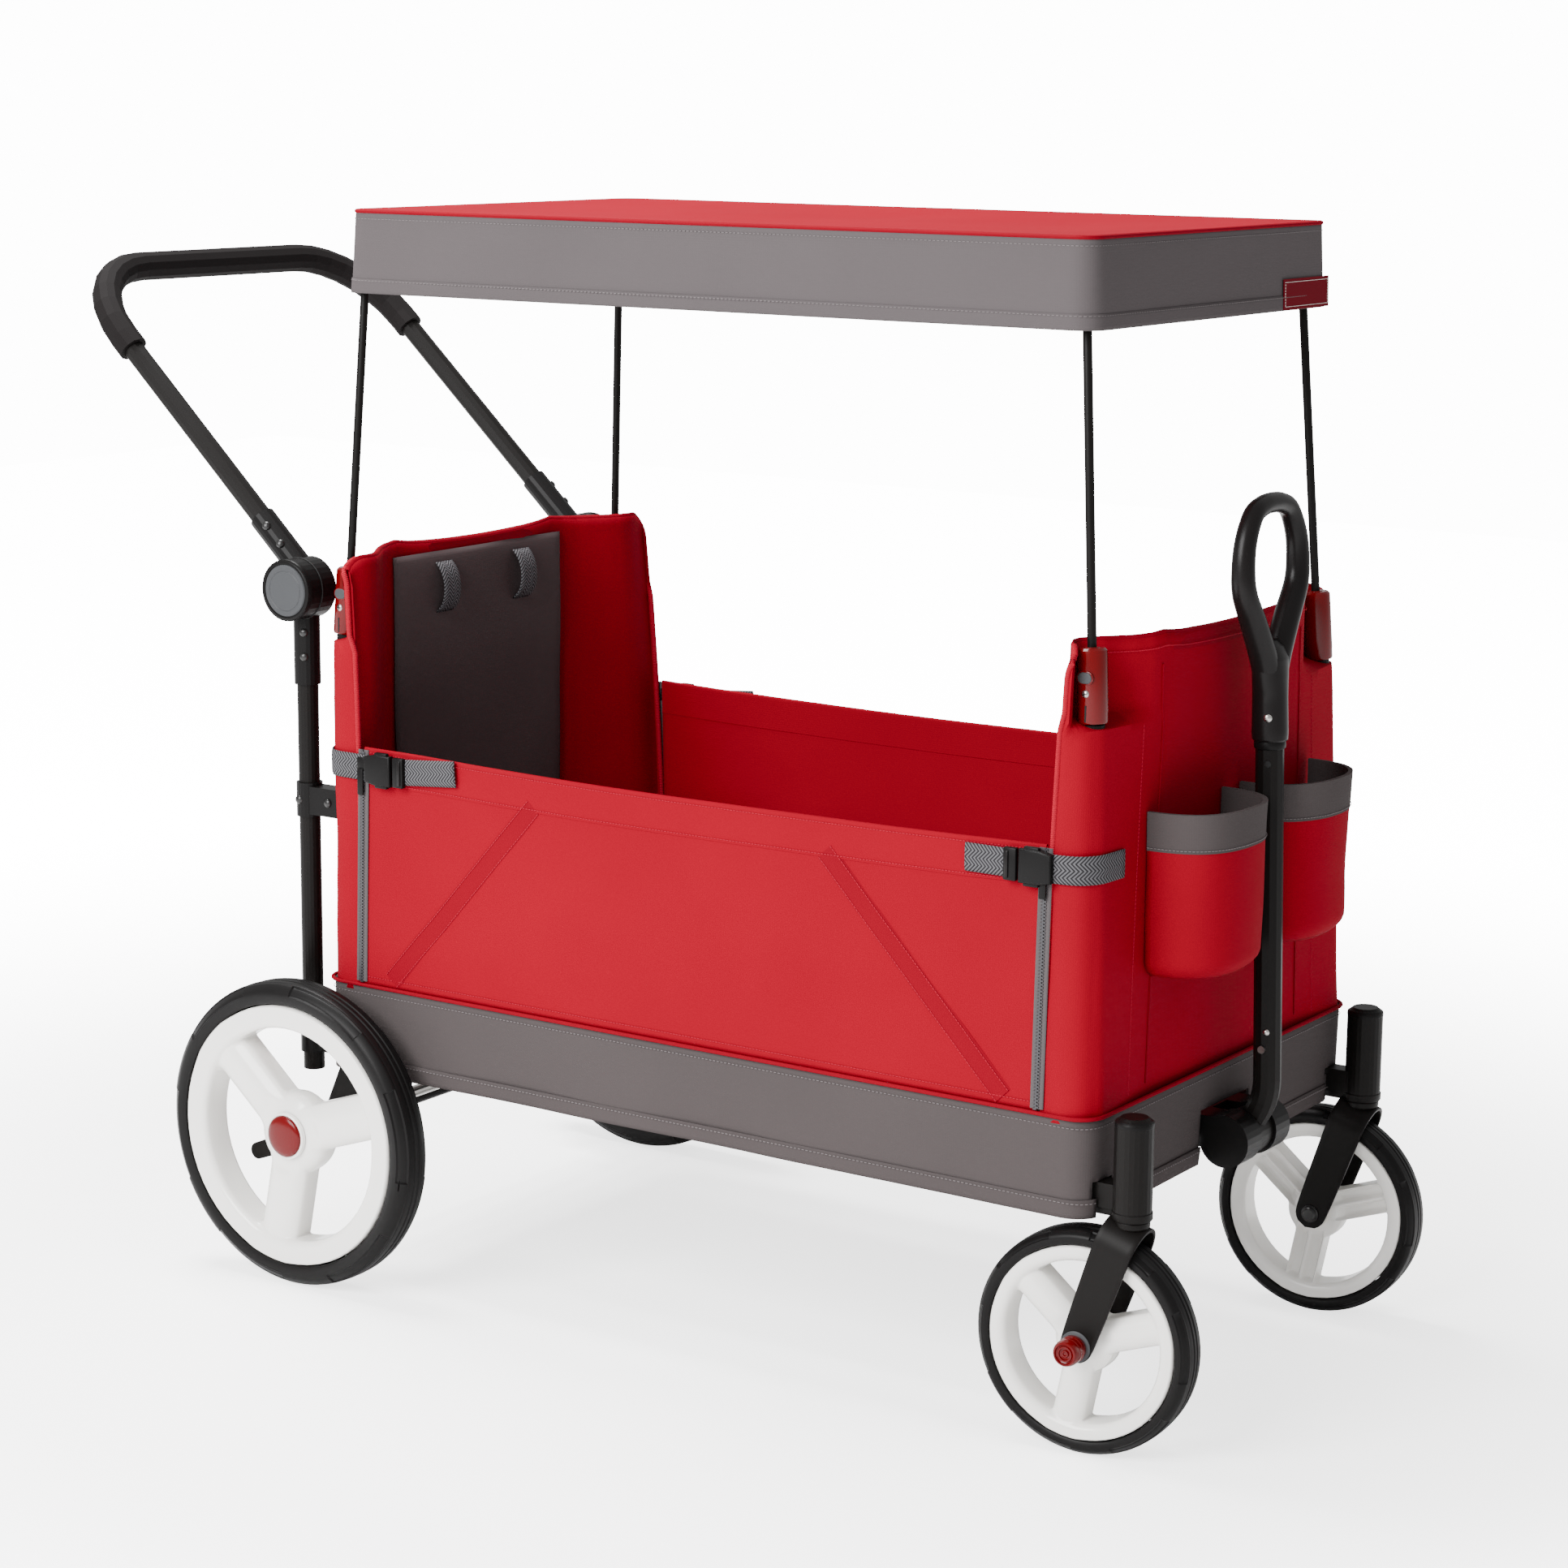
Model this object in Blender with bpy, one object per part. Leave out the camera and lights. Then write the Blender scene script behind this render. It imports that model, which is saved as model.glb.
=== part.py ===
"""Folding pull wagon for children: fabric body on two folding frames, canopy on poles, push and pull handles.

Metres, +Z up. +X points to the pull handle, the origin is on the ground in the middle of the whole wagon.
Run with: blender --background --python part.py
"""
from math import atan2, cos, hypot, pi, radians, sin

import bmesh
import bpy
from mathutils import Matrix, Quaternion, Vector

# ---------------------------------------------------------------- driving dimensions
GAP = 0.0003                    # between meshes that touch or run on each other
ROOM = 0.003                    # clearance around a part that passes through a cut
CUT_PAST = 0.01                 # how far a cutting shape runs past what it cuts
THROUGH = 0.1                   # half length of a cut that goes right through
ROUND = 20                      # sides of a tube

REAR_WHEEL_RADIUS = 0.1524
REAR_WHEEL_WIDTH = 0.040
REAR_AXLE_X = -0.4293           # all X sizes are from the middle of the body
REAR_AXLE_RADIUS = 0.006
REAR_RIM_SHARE_DEPTH = 0.021    # depth of the tyre section
REAR_RIM_BAND = 0.0234          # width of the white rim ring seen from the side
REAR_SPOKE_WIDTH = 0.046
REAR_HUB_RADIUS = 0.034
HUB_CAP_RADIUS = 0.0205
HUB_CAP_HEIGHT = 0.0045

FRONT_WHEEL_RADIUS = 0.1016
FRONT_WHEEL_WIDTH = 0.036
FRONT_TYRE_DEPTH = 0.0135
FRONT_RIM_BAND = 0.0150
FRONT_SPOKE_WIDTH = 0.030
FRONT_HUB_RADIUS = 0.023
SPOKE_PHASE = 19.0              # degrees of the first spoke above +X
SPOKES = 3
STEM_X = 0.466
STEM_Y = 0.228
STEM_RADIUS = 0.017
STEM_LOW = 0.2165
STEM_HIGH = 0.3030
STEM_CAP_HEIGHT = 0.004
CASTER_TRAIL = 0.0385
CASTER_TURN = 4.5               # degrees, how the casters stand
CASTER_PIN_RADIUS = 0.008
CASTER_PIN_LENGTH = 0.060
FORK_STRAP = 0.0035
FORK_WIDTH = 0.036
FORK_SIDE_GAP = 0.0045
FRONT_AXLE_RADIUS = 0.004
KNOB_RADIUS = 0.0120
KNOB_LENGTH = 0.0220
BOLT_HEAD_RADIUS = 0.0085
BOLT_HEAD_LENGTH = 0.006

FRAME_TUBE = 0.011              # radius
CROSS_TUBE_Z = 0.245
CROSS_TUBE_X = {"front": 0.420, "rear": -0.408}
POST_RADIUS = 0.010
POST_BASE_Y = 0.222
POST_CLEAR = 0.0010              # below a socket, which leans more than its post
ARM_HEIGHT = 0.022
ARM_WIDTH = 0.018
ARM_INSET = 0.004               # the arm's middle lies this far inside the stem's
ARM_Z = 0.2335

POLE_RADIUS = 0.004
POLE_TOP_Z = 1.036
POLE_REACH = 0.050              # how far a pole stands in its post
FRONT_SOCKET_X = 0.4047
REAR_SOCKET_X = -0.4167
SOCKET_Y = 0.2131
SOCKET_TOP_Z = 0.7035
SOCKET_LENGTH = 0.0640
SOCKET_RADIUS = 0.0135
FRONT_POLE_LEAN = -0.068        # metres of X for each metre of height
REAR_POLE_LEAN = 0.052
POLE_LEAN_Y = -0.041
SOCKET_BUTTON_WIDTH = 0.014
SOCKET_BUTTON_HEIGHT = 0.010
SOCKET_BUTTON_DEPTH = 0.0050
SOCKET_BUTTON_DROP = 0.024      # below the top of the socket
SOCKET_BUTTON_PROUD = 0.0012

BODY_WIDTH = 0.505
REAR_TRACK = BODY_WIDTH / 2 + 0.0365    # from the middle to the middle of a rear wheel
SKIRT_FRONT_X = 0.436
SKIRT_REAR_X = -0.4240
SKIRT_LOW = 0.213
SEAM_Z = 0.302
SKIRT_CORNER = 0.024
FABRIC = 0.0035
PANEL = 0.010                   # padded end panels
PANEL_OVER_POST = 0.0035        # padding outside a corner post
PANEL_INSIDE = SOCKET_RADIUS + 0.009           # inner face of the padding from the middle of a post
FRONT_PANEL_X = 0.431
REAR_PANEL_X = -0.440
PANEL_FOLD_Y = 0.147
FRONT_PANEL_TOP = 0.708
REAR_PANEL_TOP = 0.717
SIDE_TOP_Z = 0.536
SIDE_LEAN = 0.0075              # how far a side panel's top edge leans in
FRONT_ZIP_X = 0.384
REAR_ZIP_X = -0.376
ZIP_GAP = 0.001
PIPING_LEAN = {"front": 0.008, "rear": 0.018}   # how much further out an end panel's free edge is at the top

FLOOR_HALF = 0.390              # each floor board from its hinge to the middle fold
FLOOR_HINGE_REAR_X = -0.386
FLOOR_HINGE_Z = 0.2620
FLOOR_BOARD = 0.012
FLOOR_WIDTH = 0.380
FLOOR_FOLD_GAP = 0.0005

CANOPY_FRONT_X = 0.4015
CANOPY_REAR_X = -0.4075
CANOPY_WIDTH = 0.4450
CANOPY_LOW = 0.9687
CANOPY_HIGH = 1.0480
CANOPY_FLARE = 0.004
CANOPY_CORNER = 0.018
CANOPY_FABRIC = 0.003

PUSH_HUB_X = -0.4715
PUSH_HUB_Z = 0.6800
PUSH_HUB_RADIUS = 0.030
PUSH_HUB_HALF = 0.020           # thickness of each half of a hub
PUSH_HUB_OUTER_Y = 0.2466
PUSH_TUBE = 0.0105
PUSH_ARM_AHEAD = 0.0135         # how far in front of the hub's axis an arm's line passes
PUSH_BAR_X = -0.779             # corner of the straight runs, before the bend
PUSH_BAR_Y = 0.213
PUSH_BAR_Z = 0.976
PUSH_BEND = 0.095
SLEEVE_RADIUS = 0.0130
SLEEVE_END = 0.095              # from the hub's middle to the end of the arm's or upright's sleeve
UPRIGHT_FOOT_Z = 0.195
GRIP_RADIUS = 0.0150
GRIP_END = 0.017                # foam beyond each bend
PUSH_BUTTON_RADIUS = 0.0255
PUSH_BUTTON_DEPTH = 0.006
PUSH_BUTTON_PROUD = 0.0010
PUSH_BUTTON_TRAVEL = 0.003
CLAMP_HIGH_Z = 0.470
CLAMP_LOW_Z = 0.235
CLAMP_HEIGHT = 0.034
LOW_CLAMP_HEIGHT = 0.044
CLAMP_WALL = 0.003
CLAMP_ARM_HALF = 0.010          # half width of the arm that reaches from a post to the upright
BRACKET_HALF = 0.018            # half width of the room cut for a bracket

PIVOT_X = 0.4565
PIVOT_Z = 0.2375
PIVOT_RADIUS = 0.0245
PIVOT_WIDTH = 0.084
SPINDLE_RADIUS = 0.005
PULL_HUB_RADIUS = 0.0215
PULL_HUB_WIDTH = 0.0280
PULL_TUBE = 0.0127
PULL_BORE = 0.0103
PULL_INNER = 0.0100
PULL_FOOT_X = 0.4775
PULL_FOOT_Z = 0.2950
PULL_TOP_X = 0.4680
PULL_TOP_Z = 0.6000
GRIP_NECK = 0.0152
GRIP_TOP_Z = 0.8235
GRIP_WIDTH = 0.1180
GRIP_LIMB = 0.0265
GRIP_NECK_LENGTH = 0.050
SNAP_Z = 0.3200
SNAP_RADIUS = 0.0035

POCKET_WIDTH = 0.142
POCKET_DEPTH = 0.066
POCKET_Y = 0.0850
POCKET_LOW = 0.4080
POCKET_HIGH = 0.5570
POCKET_WALL = 0.0030

BRAKE_X = -0.4600
BRAKE_Z = 0.1300
BRAKE_ROD = 0.005
PEDAL_X = -0.5180
PEDAL_Z = 0.1080
PEDAL_Y = 0.2420
PEDAL_RADIUS = 0.0085
PEDAL_HALF = 0.010
CARRIER_Y = 0.2000
CARRIER_THICKNESS = 0.008

# The frame's origin is half way between the rear of the push bar's foam and the front of the casters.
WAGON_REAR = PUSH_BAR_X - GRIP_RADIUS
WAGON_FRONT = STEM_X - CASTER_TRAIL * cos(radians(CASTER_TURN)) + FRONT_WHEEL_RADIUS
BODY_X = -(WAGON_REAR + WAGON_FRONT) / 2

RED = (0.60, 0.010, 0.020)
GRAY = (0.13, 0.12, 0.125)
BLACK = (0.015, 0.014, 0.013)
WHITE = (0.80, 0.79, 0.77)
SILVER = (0.60, 0.60, 0.60)


# ---------------------------------------------------------------- tools
def start():
    for item in list(bpy.data.objects):
        bpy.data.objects.remove(item, do_unlink=True)


def material(name, colour, roughness, metallic=0.0):
    found = bpy.data.materials.get(name)
    if found:
        return found
    made = bpy.data.materials.new(name)
    made.use_nodes = True
    shader = made.node_tree.nodes["Principled BSDF"]
    shader.inputs["Base Color"].default_value = (*colour, 1)
    shader.inputs["Roughness"].default_value = roughness
    shader.inputs["Metallic"].default_value = metallic
    return made


def place(name, mesh_data, look, pivot=(0, 0, 0)):
    """An object with its origin on pivot; all places are from the middle of the body."""
    shape = bmesh.new()
    shape.from_mesh(mesh_data)
    bmesh.ops.remove_doubles(shape, verts=shape.verts, dist=1e-6)
    bmesh.ops.translate(shape, verts=shape.verts, vec=-Vector(pivot))
    mesh = bpy.data.meshes.new(name)
    shape.to_mesh(mesh)
    shape.free()
    mesh.shade_smooth()
    mesh.set_sharp_from_angle(angle=radians(35))
    mesh.materials.append(look)
    item = bpy.data.objects.new(name, mesh)
    item.location = Vector(pivot) + Vector((BODY_X, 0, 0))
    bpy.context.collection.objects.link(item)
    return item


def finished(shape):
    """A bmesh's mesh with its faces turned outwards."""
    bmesh.ops.recalc_face_normals(shape, faces=shape.faces)
    mesh = bpy.data.meshes.new("piece")
    shape.to_mesh(mesh)
    shape.free()
    return mesh


def combined(base, others, operation):
    """base joined with, or cut by, each of the other meshes."""
    for other in others:
        body = bpy.data.objects.new("body", base)
        tool = bpy.data.objects.new("tool", other)
        for item in (body, tool):
            bpy.context.collection.objects.link(item)
        step = body.modifiers.new("step", "BOOLEAN")
        step.operation = operation
        step.solver = "EXACT"
        step.object = tool
        bpy.context.view_layer.update()
        graph = bpy.context.evaluated_depsgraph_get()
        base = bpy.data.meshes.new_from_object(body.evaluated_get(graph))
        for item in (body, tool):
            bpy.data.objects.remove(item, do_unlink=True)
    return base


def union(base, *others):
    return combined(base, others, "UNION")


def cut(base, *others):
    return combined(base, others, "DIFFERENCE")


def block(low, high):
    shape = bmesh.new()
    bmesh.ops.create_cube(shape, size=1)
    size = Vector(high) - Vector(low)
    bmesh.ops.scale(shape, vec=size, verts=shape.verts)
    bmesh.ops.translate(shape, vec=(Vector(high) + Vector(low)) / 2, verts=shape.verts)
    return finished(shape)


def rod(start_point, end_point, radius, end_radius=None, sides=ROUND):
    """A round bar between two points."""
    run = Vector(end_point) - Vector(start_point)
    shape = bmesh.new()
    bmesh.ops.create_cone(
        shape, cap_ends=True, segments=sides, radius1=radius, radius2=end_radius or radius, depth=run.length)
    turn = Vector((0, 0, 1)).rotation_difference(run).to_matrix().to_4x4()
    middle = (Vector(start_point) + Vector(end_point)) / 2
    bmesh.ops.transform(shape, matrix=Matrix.Translation(middle) @ turn, verts=shape.verts)
    return finished(shape)


def across(x, z, y_low, y_high, radius, sides=ROUND):
    """A round bar along Y."""
    return rod((x, y_low, z), (x, y_high, z), radius, sides=sides)


def filleted(points, radius, steps=6):
    """The polyline with an arc of that radius at each inner corner."""
    points = [Vector(p) for p in points]
    path = [points[0]]
    for before, corner, after in zip(points, points[1:], points[2:]):
        into = (corner - before).normalized()
        out = (after - corner).normalized()
        bend = into.angle(out)
        reach = radius * abs(sin(bend / 2) / cos(bend / 2))
        centre = corner + (out - into).normalized() * radius / cos(bend / 2)
        spoke = corner - into * reach - centre
        axis = into.cross(out)
        path += [centre + Quaternion(axis, bend * i / steps) @ spoke for i in range(steps + 1)]
    path.append(points[-1])
    return path


def tube(points, radius, sides=ROUND):
    """A bent bar along points."""
    curve = bpy.data.curves.new("path", "CURVE")
    curve.dimensions = "3D"
    curve.bevel_depth = radius
    curve.bevel_resolution = sides // 4 - 1 if sides > 8 else 1
    curve.use_fill_caps = True
    spline = curve.splines.new("POLY")
    spline.points.add(len(points) - 1)
    for knot, point in zip(spline.points, points):
        knot.co = (*point, 1)
    item = bpy.data.objects.new("path", curve)
    bpy.context.collection.objects.link(item)
    bpy.context.view_layer.update()
    graph = bpy.context.evaluated_depsgraph_get()
    made = bpy.data.meshes.new_from_object(item.evaluated_get(graph))
    bpy.data.objects.remove(item, do_unlink=True)
    shape = bmesh.new()
    shape.from_mesh(made)
    bmesh.ops.remove_doubles(shape, verts=shape.verts, dist=1e-6)
    return finished(shape)


def along(points, skip):
    """The part of a path that starts and ends skip metres in from its ends."""
    def trimmed(path):
        left = skip
        for i in range(len(path) - 1):
            run = path[i + 1] - path[i]
            if run.length > left:
                return [path[i] + run.normalized() * left] + path[i + 1:]
            left -= run.length
        return path
    return trimmed(trimmed(points)[::-1])[::-1]


def arc(x, y, radius, start_degrees, end_degrees, steps):
    """Points (x, y) of an arc."""
    span = end_degrees - start_degrees
    turns = [radians(start_degrees + span * i / steps) for i in range(steps + 1)]
    return [(x + radius * cos(t), y + radius * sin(t)) for t in turns]


def slab(outlines, depth, matrix=Matrix()):
    """Closed outlines (the first is the outside, the rest are holes) in XY, extruded depth up, then moved by matrix."""
    shape = bmesh.new()
    edges = []
    for outline in outlines:
        knots = [shape.verts.new((x, y, 0)) for x, y in outline]
        edges += [shape.edges.new((knots[i - 1], knots[i])) for i in range(len(knots))]
    bmesh.ops.triangle_fill(shape, use_beauty=True, edges=edges)
    made = bmesh.ops.extrude_face_region(shape, geom=list(shape.faces), use_keep_orig=True)
    top = [v for v in made["geom"] if isinstance(v, bmesh.types.BMVert)]
    bmesh.ops.translate(shape, vec=(0, 0, depth), verts=top)
    bmesh.ops.transform(shape, matrix=matrix, verts=shape.verts)
    return finished(shape)


def loft(low_outline, low_z, high_outline, high_z):
    """A wall between two plan outlines with the same number of points."""
    shape = bmesh.new()
    low = [shape.verts.new((x, y, low_z)) for x, y in low_outline]
    edges = [shape.edges.new((low[i - 1], low[i])) for i in range(len(low))]
    bmesh.ops.triangle_fill(shape, use_beauty=False, edges=edges)
    made = bmesh.ops.extrude_face_region(shape, geom=list(shape.faces), use_keep_orig=True)
    top = [v for v in made["geom"] if isinstance(v, bmesh.types.BMVert)]
    for knot in top:
        nearest = min(range(len(low)), key=lambda i: (low[i].co - knot.co).length)
        knot.co = (*high_outline[nearest], high_z)
    bmesh.ops.triangulate(shape, faces=shape.faces)
    return finished(shape)


def turned(profile, sides):
    """A ring or disc: a closed profile of (radius, height) points, turned about Z."""
    shape = bmesh.new()
    knots = [shape.verts.new((radius, 0, height)) for radius, height in profile]
    edges = [shape.edges.new((knots[i - 1], knots[i])) for i in range(len(knots))]
    bmesh.ops.spin(
        shape, geom=knots + edges, cent=(0, 0, 0), axis=(0, 0, 1), angle=2 * pi, steps=sides, use_merge=True)
    bmesh.ops.remove_doubles(shape, verts=shape.verts, dist=1e-6)
    return finished(shape)


def moved(mesh, matrix):
    mesh.transform(matrix)
    if matrix.determinant() < 0:
        mesh.flip_normals()
    return mesh


def on_side(x, y, z):
    """Turns a shape made about Z so that it is about Y, and moves it there."""
    return Matrix.Translation((x, y, z)) @ Matrix.Rotation(pi / 2, 4, "X")


def mirrored(mesh):
    """The same mesh on the other side of the middle plane."""
    copy = mesh.copy()
    return moved(copy, Matrix.Scale(-1, 4, (0, 1, 0)))


SIDES = {"left": 1, "right": -1}        # left is +Y, seen by someone who pulls the wagon
ENDS = {"front": 1, "rear": -1}


def side_copy(mesh, side):
    """mesh is made for the left side."""
    return mesh.copy() if SIDES[side] > 0 else mirrored(mesh)


# ---------------------------------------------------------------- looks
def looks():
    return {
        "red_fabric": material("red_fabric", RED, 0.85),
        "gray_fabric": material("gray_fabric", GRAY, 0.90),
        "black_steel": material("black_steel", BLACK, 0.40, 0.3),
        "black_plastic": material("black_plastic", BLACK, 0.45),
        "red_plastic": material("red_plastic", RED, 0.20),
        "gray_plastic": material("gray_plastic", GRAY, 0.40),
        "white_plastic": material("white_plastic", WHITE, 0.30),
        "tyre": material("tyre", BLACK, 0.60),
        "foam": material("foam", BLACK, 0.95),
        "floor_mat": material("floor_mat", GRAY, 0.90),
        "silver_steel": material("silver_steel", SILVER, 0.25, 1.0),
    }


# ---------------------------------------------------------------- wheels
def wheel_disc(radius, tyre_depth, band, hub, spoke, width, bore):
    """White wheel about Z: ring, spokes and hub of one thickness."""
    rim = radius - tyre_depth
    inner = rim - band
    outlines = [arc(0, 0, rim, 0, 360 - 360 / 48, 47), arc(0, 0, bore, 0, 360 - 360 / 16, 15)]
    half = spoke / 2
    lean_in = atan2(half, hub) * 180 / pi
    lean_out = atan2(half, inner) * 180 / pi
    step = 360 / SPOKES
    for number in range(SPOKES):
        base = SPOKE_PHASE + number * step
        outer = arc(0, 0, inner, base + lean_out + 5, base + step - lean_out - 5, 10)
        near = arc(0, 0, hub + 0.004, base + step - lean_in - 6, base + lean_in + 6, 4)
        outlines.append(outer + near)
    return slab(outlines, width, Matrix.Translation((0, 0, -width / 2)))


def tyre_ring(radius, depth, width):
    low = radius - depth + GAP
    half = width / 2
    soft = depth * 0.55
    profile = [
        (low, -half * 0.88), (radius - soft, -half), (radius, -half * 0.55),
        (radius, half * 0.55), (radius - soft, half), (low, half * 0.88)]
    return moved(turned(profile, 48), Matrix.Rotation(-pi / 2, 4, "Z"))


def upright_wheel(mesh, x, y, z):
    """A shape about Z stood up on its axle along Y, with +X kept."""
    return moved(mesh, on_side(x, y, z))


def rear_wheels(look):
    for side, sign in SIDES.items():
        centre = (REAR_AXLE_X, sign * REAR_TRACK, REAR_WHEEL_RADIUS)
        bore = REAR_AXLE_RADIUS + GAP
        disc = wheel_disc(
            REAR_WHEEL_RADIUS, REAR_RIM_SHARE_DEPTH, REAR_RIM_BAND, REAR_HUB_RADIUS, REAR_SPOKE_WIDTH,
            REAR_WHEEL_WIDTH, bore)
        place(f"rear_wheel_{side}", upright_wheel(disc, *centre), look["white_plastic"], centre)
        ring = tyre_ring(REAR_WHEEL_RADIUS, REAR_RIM_SHARE_DEPTH, REAR_WHEEL_WIDTH)
        place(f"rear_tyre_{side}", upright_wheel(ring, *centre), look["tyre"], centre)
        face = REAR_TRACK + REAR_WHEEL_WIDTH / 2 + GAP
        cap = across(REAR_AXLE_X, REAR_WHEEL_RADIUS, face, face + HUB_CAP_HEIGHT, HUB_CAP_RADIUS)
        place(f"hub_cap_{side}", side_copy(cap, side), look["red_plastic"], centre)
    end = REAR_TRACK + REAR_WHEEL_WIDTH / 2 - 0.002
    axle = across(REAR_AXLE_X, REAR_WHEEL_RADIUS, -end, end, REAR_AXLE_RADIUS, 16)
    place("rear_axle", axle, look["silver_steel"], (REAR_AXLE_X, 0, REAR_WHEEL_RADIUS))


# ---------------------------------------------------------------- casters
def fork_mesh():
    """Strap bent over the wheel, with the pin that turns in the stem; about the stem at the origin, before turning."""
    inside = FRONT_WHEEL_WIDTH / 2 + FORK_SIDE_GAP
    outside = inside + FORK_STRAP
    crown = STEM_LOW - GAP
    drop = crown - FRONT_WHEEL_RADIUS
    foot = -FORK_WIDTH / 2
    slope = atan2(CASTER_TRAIL, drop)
    leg = hypot(CASTER_TRAIL, drop)
    outer = arc(0, leg - outside, outside, 0, 180, 12)
    inner = arc(0, leg - outside, inside, 180, 0, 12)
    outline = outer + [(-outside, foot), (-inside, foot)] + inner + [(inside, foot), (outside, foot)]
    strap = slab([outline], FORK_WIDTH, Matrix.Translation((0, 0, -FORK_WIDTH / 2)))
    stand = Matrix(((0, 0, 1, 0), (1, 0, 0, 0), (0, 1, 0, 0), (0, 0, 0, 1)))
    lean = Matrix.Translation((-CASTER_TRAIL, 0, FRONT_WHEEL_RADIUS)) @ Matrix.Rotation(slope, 4, "Y")
    strap = moved(strap, lean @ stand)
    above = block((-0.1, -0.1, crown), (0.1, 0.1, crown + 0.1))
    strap = cut(strap, above)
    boss = rod((0, 0, crown - 0.010), (0, 0, crown), STEM_RADIUS * 0.9)
    wheel_room = across(-CASTER_TRAIL, FRONT_WHEEL_RADIUS, -THROUGH, THROUGH, FRONT_WHEEL_RADIUS + ROOM, 48)
    pin = rod((0, 0, crown - 0.004), (0, 0, STEM_LOW + CASTER_PIN_LENGTH - GAP), CASTER_PIN_RADIUS)
    boss = cut(boss, wheel_room)
    hole = across(-CASTER_TRAIL, FRONT_WHEEL_RADIUS, -THROUGH, THROUGH, FRONT_AXLE_RADIUS + GAP, 16)
    return cut(union(strap, boss, pin), hole)


def casters(look):
    for side, sign in SIDES.items():
        stem = Matrix.Translation((STEM_X, sign * STEM_Y, 0)) @ Matrix.Rotation(radians(CASTER_TURN), 4, "Z")
        pivot = (STEM_X, sign * STEM_Y, STEM_LOW)
        centre = tuple(stem @ Vector((-CASTER_TRAIL, 0, FRONT_WHEEL_RADIUS)))
        place(f"caster_fork_{side}", moved(fork_mesh(), stem), look["black_steel"], pivot)
        local = on_side(-CASTER_TRAIL, 0, FRONT_WHEEL_RADIUS)
        disc = wheel_disc(
            FRONT_WHEEL_RADIUS, FRONT_TYRE_DEPTH, FRONT_RIM_BAND, FRONT_HUB_RADIUS, FRONT_SPOKE_WIDTH,
            FRONT_WHEEL_WIDTH, FRONT_AXLE_RADIUS + GAP)
        place(f"front_wheel_{side}", moved(disc, stem @ local), look["white_plastic"], centre)
        ring = tyre_ring(FRONT_WHEEL_RADIUS, FRONT_TYRE_DEPTH, FRONT_WHEEL_WIDTH)
        place(f"front_tyre_{side}", moved(ring, stem @ local), look["tyre"], centre)
        face = FRONT_WHEEL_WIDTH / 2 + FORK_SIDE_GAP + FORK_STRAP + GAP
        x, z = -CASTER_TRAIL, FRONT_WHEEL_RADIUS
        bolt = union(
            across(x, z, -face - 0.001, face + 0.001, FRONT_AXLE_RADIUS, 16),
            across(x, z, face, face + KNOB_LENGTH, KNOB_RADIUS),
            across(x, z, -face - BOLT_HEAD_LENGTH, -face, BOLT_HEAD_RADIUS))
        bolt = bolt if sign > 0 else mirrored(bolt)
        place(f"front_axle_{side}", moved(bolt, stem), look["red_plastic"], centre)


# ---------------------------------------------------------------- posts, poles and sockets
def pole_point(end, z):
    """Middle of the left pole of that end at a height."""
    above = z - SOCKET_TOP_Z
    if end == "front":
        return Vector((FRONT_SOCKET_X + FRONT_POLE_LEAN * above, SOCKET_Y + POLE_LEAN_Y * above, z))
    return Vector((REAR_SOCKET_X + REAR_POLE_LEAN * above, SOCKET_Y + POLE_LEAN_Y * above, z))


def socket_foot_z():
    return SOCKET_TOP_Z - SOCKET_LENGTH


def post_top_z():
    return socket_foot_z() - POST_CLEAR


def post_mesh(end):
    """Left corner post with the bore for its pole."""
    top = pole_line(end, post_top_z())
    foot = Vector((CROSS_TUBE_X[end], POST_BASE_Y, CROSS_TUBE_Z))
    post = rod(foot, top, POST_RADIUS)
    low = pole_point(end, socket_foot_z() - POLE_REACH - ROOM)
    return cut(post, rod(low, pole_point(end, SOCKET_TOP_Z), POLE_RADIUS + GAP, sides=12))


def cross_and_posts(end):
    x = CROSS_TUBE_X[end]
    reach = POST_BASE_Y + FRAME_TUBE
    frame = across(x, CROSS_TUBE_Z, -reach, reach, FRAME_TUBE)
    left = post_mesh(end)
    return union(frame, left, mirrored(left))


def poles(look):
    for end in ENDS:
        low = pole_point(end, socket_foot_z() - POLE_REACH)
        high = pole_point(end, POLE_TOP_Z)
        for side in SIDES:
            pole = side_copy(rod(low, high, POLE_RADIUS, sides=12), side)
            place(f"canopy_pole_{end}_{side}", pole, look["black_steel"])


def button_outline(width, height):
    straight = (width - height) / 2
    ends = arc(straight, 0, height / 2, -90, 90, 6)
    return ends + arc(-straight, 0, height / 2, 90, 270, 6)


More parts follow.
